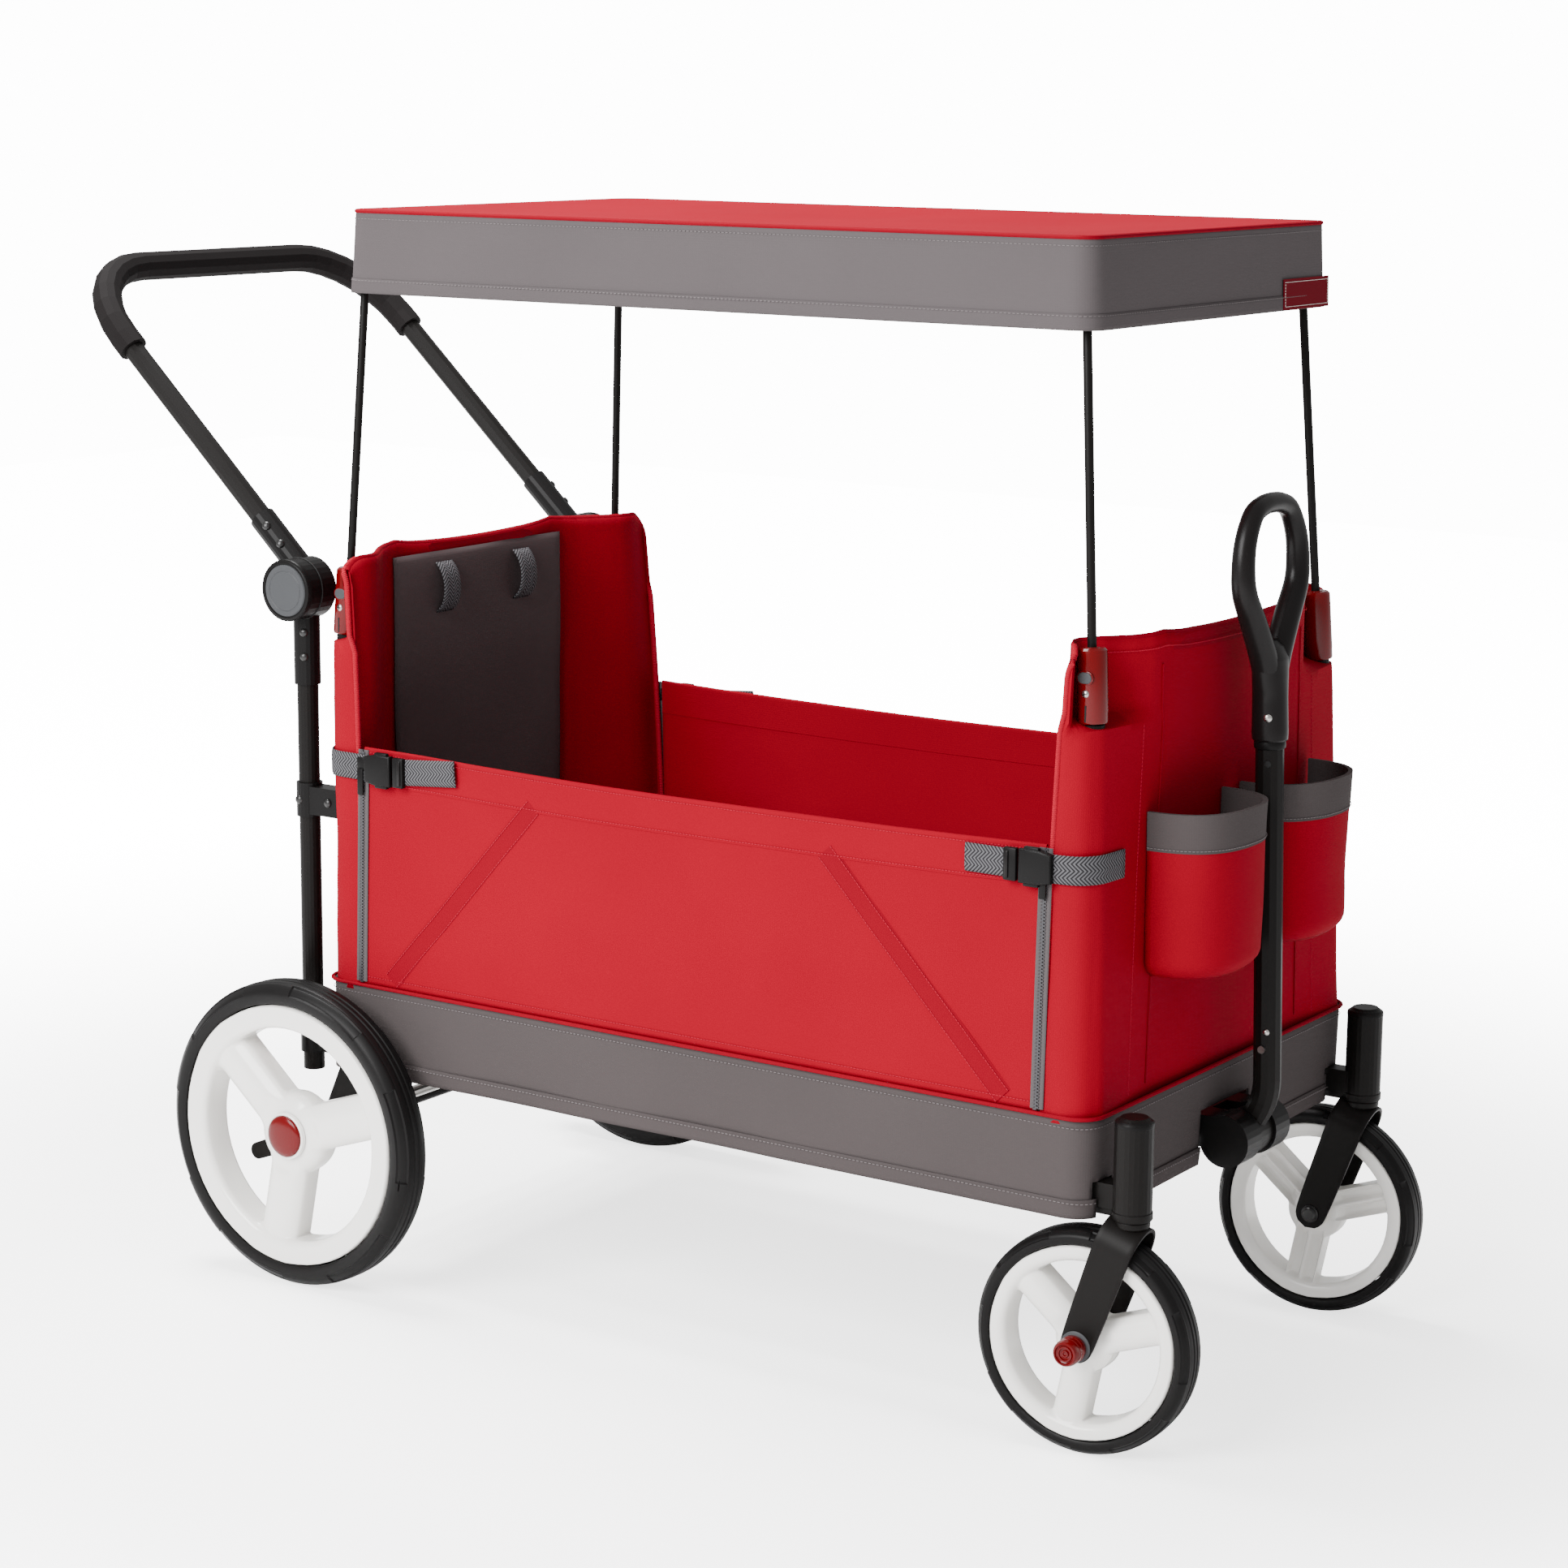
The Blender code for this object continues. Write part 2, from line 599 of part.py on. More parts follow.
def sockets(look):
    for end in ENDS:
        foot = pole_point(end, socket_foot_z())
        top = pole_point(end, SOCKET_TOP_Z)
        bore = rod(foot - (top - foot) * 0.1, top + (top - foot) * 0.1, POLE_RADIUS + GAP, sides=12)
        shell = cut(rod(foot, top, SOCKET_RADIUS, sides=24), bore)
        middle = pole_point(end, SOCKET_TOP_Z - SOCKET_BUTTON_DROP)
        face = middle.y + SOCKET_RADIUS
        away = Matrix.Translation((middle.x, face + CUT_PAST, middle.z)) @ Matrix.Rotation(pi / 2, 4, "X")
        room = button_outline(SOCKET_BUTTON_WIDTH + 2 * GAP, SOCKET_BUTTON_HEIGHT + 2 * GAP)
        shell = cut(shell, slab([room], 0.01 + SOCKET_BUTTON_DEPTH + ROOM, away))
        cap = button_outline(SOCKET_BUTTON_WIDTH, SOCKET_BUTTON_HEIGHT)
        out = Matrix.Translation((middle.x, face + SOCKET_BUTTON_PROUD, middle.z)) @ Matrix.Rotation(pi / 2, 4, "X")
        key = slab([cap], SOCKET_BUTTON_DEPTH, out)
        for side in SIDES:
            place(f"pole_socket_{end}_{side}", side_copy(shell, side), look["red_plastic"])
            place(f"socket_button_{end}_{side}", side_copy(key, side), look["gray_plastic"])


# ---------------------------------------------------------------- frames
def carrier_mesh():
    """Left plate that holds the rear axle and the brake rod under the rear frame."""
    tilt = radians(90)
    tube_x = CROSS_TUBE_X["rear"]
    outline = [
        (tube_x - 0.016, CROSS_TUBE_Z), (BRAKE_X - 0.012, BRAKE_Z + 0.006), (BRAKE_X - 0.010, BRAKE_Z - 0.010),
        (BRAKE_X + 0.004, BRAKE_Z - 0.012), (REAR_AXLE_X, REAR_WHEEL_RADIUS - 0.016),
        (REAR_AXLE_X + 0.016, REAR_WHEEL_RADIUS - 0.006), (tube_x + 0.016, CROSS_TUBE_Z)]
    turn = Matrix.Translation((0, CARRIER_Y + CARRIER_THICKNESS, 0)) @ Matrix.Rotation(tilt, 4, "X")
    return slab([outline], CARRIER_THICKNESS, turn)


def rear_frame(look):
    left = carrier_mesh()
    frame = union(cross_and_posts("rear"), left, mirrored(left))
    frame = cut(
        frame,
        across(REAR_AXLE_X, REAR_WHEEL_RADIUS, -0.25, 0.25, REAR_AXLE_RADIUS + GAP, 16),
        across(BRAKE_X, BRAKE_Z, -0.25, 0.25, BRAKE_ROD + GAP, 16))
    place("rear_frame", frame, look["black_steel"])


def front_frame(look):
    frame = cross_and_posts("front")
    arm = block(
        (CROSS_TUBE_X["front"], STEM_Y - ARM_WIDTH / 2 - ARM_INSET, ARM_Z - ARM_HEIGHT / 2),
        (STEM_X, STEM_Y + ARM_WIDTH / 2 - ARM_INSET, ARM_Z + ARM_HEIGHT / 2))
    stem = rod((STEM_X, STEM_Y, STEM_LOW), (STEM_X, STEM_Y, STEM_HIGH), STEM_RADIUS, sides=24)
    cap = rod(
        (STEM_X, STEM_Y, STEM_HIGH), (STEM_X, STEM_Y, STEM_HIGH + STEM_CAP_HEIGHT), STEM_RADIUS,
        STEM_RADIUS * 0.7, sides=24)
    left = union(arm, stem, cap)
    bore = rod(
        (STEM_X, STEM_Y, STEM_LOW - CUT_PAST), (STEM_X, STEM_Y, STEM_LOW + CASTER_PIN_LENGTH),
        CASTER_PIN_RADIUS + GAP)
    left = cut(left, bore)
    place("front_frame", union(frame, left, mirrored(left)), look["black_steel"])


# ---------------------------------------------------------------- body fabric
def end_panel(end):
    """Padded end panel about the posts: plan outlines at the seam and at the top, joined, then cut for the posts."""
    sign = ENDS[end]
    face = FRONT_PANEL_X if end == "front" else -REAR_PANEL_X
    zip_x = (FRONT_ZIP_X if end == "front" else -REAR_ZIP_X) + ZIP_GAP
    top_z = FRONT_PANEL_TOP if end == "front" else REAR_PANEL_TOP
    low_z = SEAM_Z + GAP
    side = BODY_WIDTH / 2
    post_low = ENDS[end] * pole_line(end, low_z).x
    post_top = ENDS[end] * pole_line(end, top_z).x
    half = []
    top_lean = SIDE_LEAN * (top_z - SEAM_Z) / (SIDE_TOP_Z - SEAM_Z)
    for post_x, lean, hem_x in ((post_low, 0, zip_x), (post_top, top_lean, zip_x + PIPING_LEAN[end])):
        edge = side - lean
        corner = post_x + POST_RADIUS + PANEL_OVER_POST
        half.append([
            (face, PANEL_FOLD_Y), (corner, edge - 0.030), (corner - 0.004, edge - 0.020), (corner - 0.012, edge - 0.008),
            (corner - 0.026, edge), (hem_x, edge), (hem_x, edge - FABRIC), (hem_x + 0.004, edge - FABRIC),
            (post_x - PANEL_INSIDE, edge - 0.040), (face - PANEL, PANEL_FOLD_Y)])
    outlines = [[(sign * x, y) for x, y in line] + [(sign * x, -y) for x, y in reversed(line)] for line in half]
    wall = loft(outlines[0], low_z, outlines[1], top_z)
    tools = []
    for hand in SIDES.values():
        foot = pole_line(end, low_z - 2 * CUT_PAST)
        top = pole_line(end, socket_foot_z() + CUT_PAST)
        post = rod(foot, top, POST_RADIUS + GAP * 2)
        tools.append(post if hand > 0 else mirrored(post))
        near = pole_point(end, SOCKET_TOP_Z)
        clear = SOCKET_RADIUS + 0.003
        inner_x = abs(near.x) - clear
        room_plan = [
            (inner_x, side + 2 * CUT_PAST), (inner_x, near.y - clear), (face, PANEL_FOLD_Y + ROOM),
            (face + 2 * CUT_PAST, PANEL_FOLD_Y + ROOM), (face + 2 * CUT_PAST, side + 2 * CUT_PAST)]
        room_low = socket_foot_z() - 0.002
        room = slab(
            [[(sign * x, y) for x, y in room_plan]], top_z + 2 * CUT_PAST - room_low, Matrix.Translation((0, 0, room_low)))
        tools.append(room if hand > 0 else mirrored(room))
    return cut(wall, *tools)


def pole_line(end, z):
    """Middle of the left corner post at a height."""
    foot = Vector((CROSS_TUBE_X[end], POST_BASE_Y, CROSS_TUBE_Z))
    top = pole_point(end, post_top_z())
    return foot.lerp(top, (z - foot.z) / (top.z - foot.z))


def side_panel(side):
    """Zip-out side wall, which drops about its seam."""
    sign = SIDES[side]
    edge = BODY_WIDTH / 2
    low = [
        (REAR_ZIP_X, edge - FABRIC), (FRONT_ZIP_X, edge - FABRIC), (FRONT_ZIP_X, edge), (REAR_ZIP_X, edge)]
    high = [(x, y - SIDE_LEAN) for x, y in low]
    wall = loft(low, SEAM_Z + 2 * GAP, high, SIDE_TOP_Z)
    return wall if sign > 0 else mirrored(wall)


def rounded_plan(x_low, x_high, half_width, corner, steps=5):
    """Plan outline with round corners."""
    y = half_width - corner
    return (
        arc(x_high - corner, y, corner, 0, 90, steps) + arc(x_low + corner, y, corner, 90, 180, steps)
        + arc(x_low + corner, -y, corner, 180, 270, steps) + arc(x_high - corner, -y, corner, 270, 360, steps))


def skirt_mesh():
    half = BODY_WIDTH / 2
    outer = rounded_plan(SKIRT_REAR_X, SKIRT_FRONT_X, half, SKIRT_CORNER)
    inner = rounded_plan(SKIRT_REAR_X + FABRIC, SKIRT_FRONT_X - FABRIC, half - FABRIC, SKIRT_CORNER - FABRIC)
    up = Matrix.Translation((0, 0, SKIRT_LOW))
    ring = slab([outer, inner], SEAM_Z - SKIRT_LOW, up)
    tools = []
    clear = ROOM
    arm_y = STEM_Y - ARM_INSET
    notch = block(
        (SKIRT_FRONT_X - 3 * CUT_PAST, arm_y - ARM_WIDTH / 2 - clear, SKIRT_LOW - CUT_PAST),
        (SKIRT_FRONT_X + 3 * CUT_PAST, arm_y + ARM_WIDTH / 2 + clear, ARM_Z + ARM_HEIGHT / 2 + clear))
    tools += [notch, mirrored(notch)]
    tools.append(block(
        (SKIRT_FRONT_X - 3 * CUT_PAST, -PIVOT_WIDTH / 2 - clear, SKIRT_LOW - CUT_PAST),
        (SKIRT_FRONT_X + 3 * CUT_PAST, PIVOT_WIDTH / 2 + clear, PIVOT_Z + PIVOT_RADIUS + clear)))
    bracket_y = upright_y()
    low_room = block(
        (SKIRT_REAR_X - 3 * CUT_PAST, bracket_y - BRACKET_HALF, SKIRT_LOW - CUT_PAST),
        (SKIRT_REAR_X + 3 * CUT_PAST, bracket_y + BRACKET_HALF, CLAMP_LOW_Z + LOW_CLAMP_HEIGHT / 2 + clear))
    tools += [low_room, mirrored(low_room)]
    return cut(ring, *tools)


def body_fabric(look):
    place("front_panel", end_panel("front"), look["red_fabric"])
    rear = end_panel("rear")
    bracket_y = upright_y()
    room = block(
        (REAR_PANEL_X - 3 * CUT_PAST, bracket_y - BRACKET_HALF, CLAMP_HIGH_Z - CLAMP_HEIGHT / 2 - 0.002),
        (pole_line("rear", CLAMP_HIGH_Z).x + 0.001, bracket_y + BRACKET_HALF, CLAMP_HIGH_Z + CLAMP_HEIGHT / 2 + 0.002))
    place("rear_panel", cut(rear, room, mirrored(room)), look["red_fabric"])
    for side, sign in SIDES.items():
        hinge = (0, sign * (BODY_WIDTH / 2 - FABRIC / 2), SEAM_Z)
        place(f"side_panel_{side}", side_panel(side), look["red_fabric"], hinge)
    place("skirt", skirt_mesh(), look["gray_fabric"])


def bottle_pockets(look):
    back = FRONT_PANEL_X + GAP
    height = POCKET_HIGH - POCKET_LOW
    for side, sign in SIDES.items():
        def bowl(shrink):
            steps = 12
            turns = [pi * i / steps - pi / 2 for i in range(steps + 1)]
            reach = POCKET_DEPTH - shrink
            half = POCKET_WIDTH / 2 - shrink
            return [(back + reach * cos(t), sign * POCKET_Y + half * sin(t)) for t in turns]
        solid = slab([bowl(0)], height, Matrix.Translation((0, 0, POCKET_LOW)))
        hollow = [(back + 0.002, sign * POCKET_Y - POCKET_WIDTH / 2 + POCKET_WALL)] + bowl(POCKET_WALL)[1:-1]
        hollow.append((back + 0.002, sign * POCKET_Y + POCKET_WIDTH / 2 - POCKET_WALL))
        room = slab([hollow], height, Matrix.Translation((0, 0, POCKET_LOW + POCKET_WALL)))
        place(f"bottle_pocket_{side}", cut(solid, room), look["red_fabric"])


def floor_boards(look):
    half = FLOOR_WIDTH / 2
    fold_x = FLOOR_HINGE_REAR_X + FLOOR_HALF
    low = FLOOR_HINGE_Z + GAP
    rear = block((FLOOR_HINGE_REAR_X, -half, low), (fold_x - FLOOR_FOLD_GAP, half, low + FLOOR_BOARD))
    front = block(
        (fold_x + FLOOR_FOLD_GAP, -half, low), (fold_x + FLOOR_HALF - FLOOR_FOLD_GAP, half, low + FLOOR_BOARD))
    place("floor_board_rear", rear, look["floor_mat"], (FLOOR_HINGE_REAR_X, 0, FLOOR_HINGE_Z))
    place("floor_board_front", front, look["floor_mat"], (fold_x, 0, FLOOR_HINGE_Z))


# ---------------------------------------------------------------- canopy
def canopy(look):
    half = CANOPY_WIDTH / 2
    flare = CANOPY_FLARE
    low = rounded_plan(CANOPY_REAR_X - flare, CANOPY_FRONT_X + flare, half + flare, CANOPY_CORNER)
    high = rounded_plan(CANOPY_REAR_X, CANOPY_FRONT_X, half, CANOPY_CORNER)
    outside = loft(low, CANOPY_LOW, high, CANOPY_HIGH)
    thin = CANOPY_FABRIC
    corner = CANOPY_CORNER - thin
    low_in = rounded_plan(CANOPY_REAR_X - flare + thin, CANOPY_FRONT_X + flare - thin, half + flare - thin, corner)
    high_in = rounded_plan(CANOPY_REAR_X + thin, CANOPY_FRONT_X - thin, half - thin, corner)
    inside = loft(low_in, CANOPY_LOW - 0.001, high_in, CANOPY_HIGH - thin)
    place("canopy", cut(outside, inside), look["red_fabric"])


# ---------------------------------------------------------------- push handle
def upright_y():
    return PUSH_HUB_OUTER_Y - GAP - PUSH_HUB_HALF * 1.5


def arm_path():
    """Middle line of the push bar, from the left hub round to the right hub."""
    left_hub = Vector((PUSH_HUB_X + PUSH_ARM_AHEAD, upright_y(), PUSH_HUB_Z))
    left_corner = Vector((PUSH_BAR_X, PUSH_BAR_Y, PUSH_BAR_Z))
    flip = Vector((1, -1, 1))
    return filleted([left_hub, left_corner, left_corner * flip, left_hub * flip], PUSH_BEND, 7)


def arm_start():
    """Where the bar's tube starts, along the arm's line."""
    return PUSH_HUB_RADIUS + PUSH_ARM_AHEAD


def push_hubs(look):
    outer_low = PUSH_HUB_OUTER_Y - PUSH_HUB_HALF
    inner_high = outer_low - GAP
    inner_low = inner_high - PUSH_HUB_HALF
    radius = PUSH_HUB_RADIUS
    path = arm_path()
    run = (path[1] - path[0]).normalized()
    outer_disc = across(PUSH_HUB_X, PUSH_HUB_Z, outer_low, PUSH_HUB_OUTER_Y, radius, 32)
    sleeve = rod(path[0] + run * radius * 0.3, path[0] + run * SLEEVE_END, SLEEVE_RADIUS)
    room = across(PUSH_HUB_X, PUSH_HUB_Z, inner_low - CUT_PAST, outer_low, radius + GAP, 32)
    arm_bore = rod(path[0] + run * (arm_start() - 0.001), path[0] + run * (SLEEVE_END + CUT_PAST), PUSH_TUBE + GAP)
    button_bore = across(
        PUSH_HUB_X, PUSH_HUB_Z, PUSH_HUB_OUTER_Y - PUSH_BUTTON_DEPTH - PUSH_BUTTON_TRAVEL, PUSH_HUB_OUTER_Y + CUT_PAST,
        PUSH_BUTTON_RADIUS + GAP, 32)
    outer = cut(union(outer_disc, sleeve), room, arm_bore, button_bore)
    inner_disc = across(PUSH_HUB_X, PUSH_HUB_Z, inner_low, inner_high, radius, 32)
    y = upright_y()
    down = rod(
        (PUSH_HUB_X, y, PUSH_HUB_Z - radius * 0.6), (PUSH_HUB_X, y, PUSH_HUB_Z - SLEEVE_END), SLEEVE_RADIUS)
    other = across(PUSH_HUB_X, PUSH_HUB_Z, outer_low, PUSH_HUB_OUTER_Y + CUT_PAST, radius + GAP, 32)
    down_bore = rod(
        (PUSH_HUB_X, y, PUSH_HUB_Z - radius - ROOM), (PUSH_HUB_X, y, PUSH_HUB_Z - SLEEVE_END - CUT_PAST),
        PUSH_TUBE + GAP)
    inner = cut(union(inner_disc, down), other, down_bore)
    key_low = PUSH_HUB_OUTER_Y + PUSH_BUTTON_PROUD - PUSH_BUTTON_DEPTH
    key = across(PUSH_HUB_X, PUSH_HUB_Z, key_low, key_low + PUSH_BUTTON_DEPTH, PUSH_BUTTON_RADIUS, 32)
    for side, sign in SIDES.items():
        pivot = (PUSH_HUB_X, sign * PUSH_HUB_OUTER_Y, PUSH_HUB_Z)
        place(f"arm_hub_{side}", side_copy(outer, side), look["black_plastic"], pivot)
        place(f"post_hub_{side}", side_copy(inner, side), look["black_plastic"], pivot)
        place(f"hub_button_{side}", side_copy(key, side), look["gray_plastic"], pivot)


def push_bar(look):
    path = arm_path()
    bar = tube(along(path, arm_start()), PUSH_TUBE)
    place("push_bar", bar, look["black_steel"], (PUSH_HUB_X, 0, PUSH_HUB_Z))
    arm_run = (path[1] - path[0]).length
    foam_path = along(path, arm_run - GRIP_END)
    foam = tube(foam_path, GRIP_RADIUS)
    bore = tube(along(path, arm_run - GRIP_END - CUT_PAST), PUSH_TUBE + GAP)
    place("foam_grip", cut(foam, bore), look["foam"], (PUSH_HUB_X, 0, PUSH_HUB_Z))


def uprights(look):
    y = upright_y()
    high = PUSH_HUB_Z - PUSH_HUB_RADIUS - 0.004
    leg = rod((PUSH_HUB_X, y, UPRIGHT_FOOT_Z), (PUSH_HUB_X, y, high), PUSH_TUBE)
    sleeve = SLEEVE_RADIUS
    for side in SIDES:
        place(f"push_upright_{side}", side_copy(leg, side), look["black_steel"])
    for name, z, height, reach in (
            ("upright_clamp", CLAMP_HIGH_Z, CLAMP_HEIGHT, pole_line("rear", CLAMP_HIGH_Z).x),
            ("low_bracket", CLAMP_LOW_Z, LOW_CLAMP_HEIGHT, CROSS_TUBE_X["rear"])):
        collar = rod((PUSH_HUB_X, y, z - height / 2), (PUSH_HUB_X, y, z + height / 2), sleeve)
        tongue = block(
            (PUSH_HUB_X, y - CLAMP_ARM_HALF, z - height / 2 + CLAMP_WALL), (reach, y + CLAMP_ARM_HALF, z + height / 2 - CLAMP_WALL))
        bore = rod((PUSH_HUB_X, y, z - height), (PUSH_HUB_X, y, z + height), PUSH_TUBE + GAP)
        bracket = cut(union(collar, tongue), bore)
        if name == "upright_clamp":
            post = rod(pole_line("rear", z - 5 * CUT_PAST), pole_line("rear", z + 5 * CUT_PAST), POST_RADIUS + GAP)
            bracket = cut(bracket, post)
        else:
            tube_room = across(CROSS_TUBE_X["rear"], CROSS_TUBE_Z, -0.3, 0.3, FRAME_TUBE + GAP)
            post = rod(pole_line("rear", z - 2 * CUT_PAST), pole_line("rear", z + 5 * CUT_PAST), POST_RADIUS + GAP)
            carrier = block(
                (-0.5, CARRIER_Y - GAP, 0.1), (-0.3, CARRIER_Y + CARRIER_THICKNESS + GAP, 0.3))
            past = block((CROSS_TUBE_X["rear"] - 0.002, -0.3, 0.1), (0, 0.3, 0.4))
            bracket = cut(bracket, tube_room, post, carrier, past)
        for side in SIDES:
            place(f"{name}_{side}", side_copy(bracket, side), look["black_plastic"])


# ---------------------------------------------------------------- pull handle
def pull_line(z):
    share = (z - PULL_FOOT_Z) / (PULL_TOP_Z - PULL_FOOT_Z)
    return Vector((PULL_FOOT_X, 0, PULL_FOOT_Z)).lerp(Vector((PULL_TOP_X, 0, PULL_TOP_Z)), share)


def pull_handle(look):
    half = PIVOT_WIDTH / 2
    barrel = across(PIVOT_X, PIVOT_Z, -half, half, PIVOT_RADIUS, 28)
    foot = block((CROSS_TUBE_X["front"] + 0.004, -half, CROSS_TUBE_Z - 0.016), (PIVOT_X, half, CROSS_TUBE_Z + 0.014))
    slot_half = PULL_HUB_WIDTH / 2 + GAP
    slot_back = PIVOT_X - PIVOT_RADIUS - 0.002
    slot = block((slot_back, -slot_half, PIVOT_Z - 5 * CUT_PAST), (PIVOT_X + 5 * CUT_PAST, slot_half, PIVOT_Z + 5 * CUT_PAST))
    tube_room = across(CROSS_TUBE_X["front"], CROSS_TUBE_Z, -THROUGH, THROUGH, FRAME_TUBE + GAP)
    spindle = across(PIVOT_X, PIVOT_Z, -half + CUT_PAST, half - CUT_PAST, SPINDLE_RADIUS, 12)
    housing = union(cut(union(barrel, foot), slot, tube_room), spindle)
    pivot = (PIVOT_X, 0, PIVOT_Z)
    place("pull_pivot_housing", housing, look["black_plastic"], pivot)

    hub_half = PULL_HUB_WIDTH / 2
    hub = across(PIVOT_X, PIVOT_Z, -hub_half, hub_half, PULL_HUB_RADIUS, 28)
    bend = filleted([(PIVOT_X, 0, PIVOT_Z), (PULL_FOOT_X, 0, PULL_FOOT_Z - 0.022), tuple(pull_line(PULL_TOP_Z))], 0.06, 5)
    shaft = union(tube(bend, PULL_TUBE), hub)
    bore_low = pull_line(PULL_FOOT_Z + 0.012)
    bore = rod(bore_low, pull_line(PULL_TOP_Z + 5 * CUT_PAST), PULL_BORE)
    spindle_bore = across(PIVOT_X, PIVOT_Z, -THROUGH, THROUGH, SPINDLE_RADIUS + GAP, 12)
    snap = pull_line(SNAP_Z)
    snap_hole = rod((snap.x, -0.05, snap.z), (snap.x, 0, snap.z), SNAP_RADIUS + GAP, sides=12)
    shaft = cut(shaft, bore, spindle_bore, snap_hole)
    place("pull_outer_tube", shaft, look["black_steel"], pivot)

    inner_low = pull_line(PULL_FOOT_Z + 0.014)
    inner = rod(inner_low, pull_line(PULL_TOP_Z + 0.030), PULL_INNER)
    deep = rod((snap.x, -0.05, snap.z), (snap.x, 0.002, snap.z), SNAP_RADIUS + 0.0008, sides=12)
    place("pull_inner_tube", cut(inner, deep), look["black_steel"])
    button = rod(
        (snap.x, -PULL_TUBE - 0.0018, snap.z), (snap.x, -PULL_INNER - GAP, snap.z), SNAP_RADIUS, sides=12)
    place("snap_button", button, look["silver_steel"])
    pull_grip(look)


def pull_grip(look):
    """Closed grip: a neck that widens into an upright loop."""
    half = GRIP_WIDTH / 2
    neck = GRIP_NECK
    limb = GRIP_LIMB
    low = PULL_TOP_Z + 0.001
    shoulder = low + GRIP_NECK_LENGTH
    waist = shoulder + 0.045
    crown = GRIP_TOP_Z - half
    outline = [(-neck, low), (neck, low), (neck, shoulder - 0.012), (half - 0.016, waist), (half, waist + 0.025)]
    outline += arc(0, crown, half, 0, 180, 14)
    outline += [(-half, waist + 0.025), (-half + 0.016, waist), (-neck, shoulder - 0.012)]
    room = half - limb
    hole = [(0, shoulder + 0.028), (room, waist + 0.030)]
    hole += arc(0, crown, room, 0, 180, 12) + [(-room, waist + 0.030)]
    stand = Matrix(((0, 0, 1, 0), (1, 0, 0, 0), (0, 1, 0, 0), (0, 0, 0, 1)))
    middle = (pull_line(low).x + pull_line(GRIP_TOP_Z).x) / 2
    loop = slab([outline, hole], limb, Matrix.Translation((middle - limb / 2, 0, 0)) @ stand)
    sleeve = rod(pull_line(low), pull_line(shoulder), neck)
    bore = rod(pull_line(low - CUT_PAST), pull_line(low + 0.0303), PULL_INNER + GAP)
    place("pull_grip", cut(union(loop, sleeve), bore), look["black_plastic"])


# ---------------------------------------------------------------- brake
def brake(look):
    rod_half = PEDAL_Y + PEDAL_HALF
    bar = across(BRAKE_X, BRAKE_Z, -rod_half, rod_half, BRAKE_ROD, 16)
    run = Vector((PEDAL_X - BRAKE_X, 0, PEDAL_Z - BRAKE_Z))
    side = Vector((-run.z, 0, run.x)).normalized() * PEDAL_RADIUS
    start_point = Vector((BRAKE_X, 0, BRAKE_Z))
    end_point = start_point + run
    outline = [(p.x, p.z) for p in (start_point - side, start_point + side, end_point + side, end_point - side)]
    turn = Matrix.Translation((0, PEDAL_Y + PEDAL_HALF, 0)) @ Matrix.Rotation(pi / 2, 4, "X")
    plate = slab([outline], 2 * PEDAL_HALF, turn)
    tip = across(PEDAL_X, PEDAL_Z, PEDAL_Y - PEDAL_HALF, PEDAL_Y + PEDAL_HALF, PEDAL_RADIUS)
    knuckle = across(BRAKE_X, BRAKE_Z, PEDAL_Y - PEDAL_HALF, PEDAL_Y + PEDAL_HALF, PEDAL_RADIUS)
    left = union(plate, tip, knuckle)
    place("brake_bar", union(bar, left, mirrored(left)), look["black_plastic"], (BRAKE_X, 0, BRAKE_Z))


def wagon():
    start()
    look = looks()
    rear_frame(look)
    front_frame(look)
    rear_wheels(look)
    casters(look)
    sockets(look)
    poles(look)
    body_fabric(look)
    bottle_pockets(look)
    floor_boards(look)
    canopy(look)
    push_hubs(look)
    push_bar(look)
    uprights(look)
    pull_handle(look)
    brake(look)


wagon()
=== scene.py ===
from math import asin, atan2, cos, hypot, pi, radians, sin, sqrt

import bmesh
import bpy
from mathutils import Matrix, Vector, noise


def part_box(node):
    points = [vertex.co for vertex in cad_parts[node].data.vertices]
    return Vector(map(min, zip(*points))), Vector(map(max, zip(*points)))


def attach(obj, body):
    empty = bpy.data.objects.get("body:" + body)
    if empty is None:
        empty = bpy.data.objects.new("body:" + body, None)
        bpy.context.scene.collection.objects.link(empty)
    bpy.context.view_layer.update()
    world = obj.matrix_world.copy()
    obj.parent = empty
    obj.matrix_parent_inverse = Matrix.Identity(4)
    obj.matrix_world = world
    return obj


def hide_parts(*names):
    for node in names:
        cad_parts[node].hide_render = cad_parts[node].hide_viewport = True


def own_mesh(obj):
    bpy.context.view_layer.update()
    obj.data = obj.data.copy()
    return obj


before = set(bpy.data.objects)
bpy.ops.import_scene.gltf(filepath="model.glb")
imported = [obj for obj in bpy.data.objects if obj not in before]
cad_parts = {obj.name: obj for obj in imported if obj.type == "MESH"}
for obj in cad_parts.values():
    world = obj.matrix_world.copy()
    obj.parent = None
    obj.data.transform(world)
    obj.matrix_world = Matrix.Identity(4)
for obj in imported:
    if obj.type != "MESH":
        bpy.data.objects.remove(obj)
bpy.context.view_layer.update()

sides = {"left": 1, "right": -1}      # left is +Y, for whoever pulls the wagon
ends = {"front": 1, "rear": -1}
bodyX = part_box("floor_board_rear")[0].x + 0.386      # the tub's middle, 386 mm ahead of its rear fold


# tools for meshes
def spot(x, y, z):
    return Vector((x + bodyX, y, z))


def middleOf(node):
    low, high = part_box(node)
    return (low + high) / 2


def shifted(shape, matrix):
    bmesh.ops.transform(shape, matrix=matrix, verts=shape.verts)
    return shape


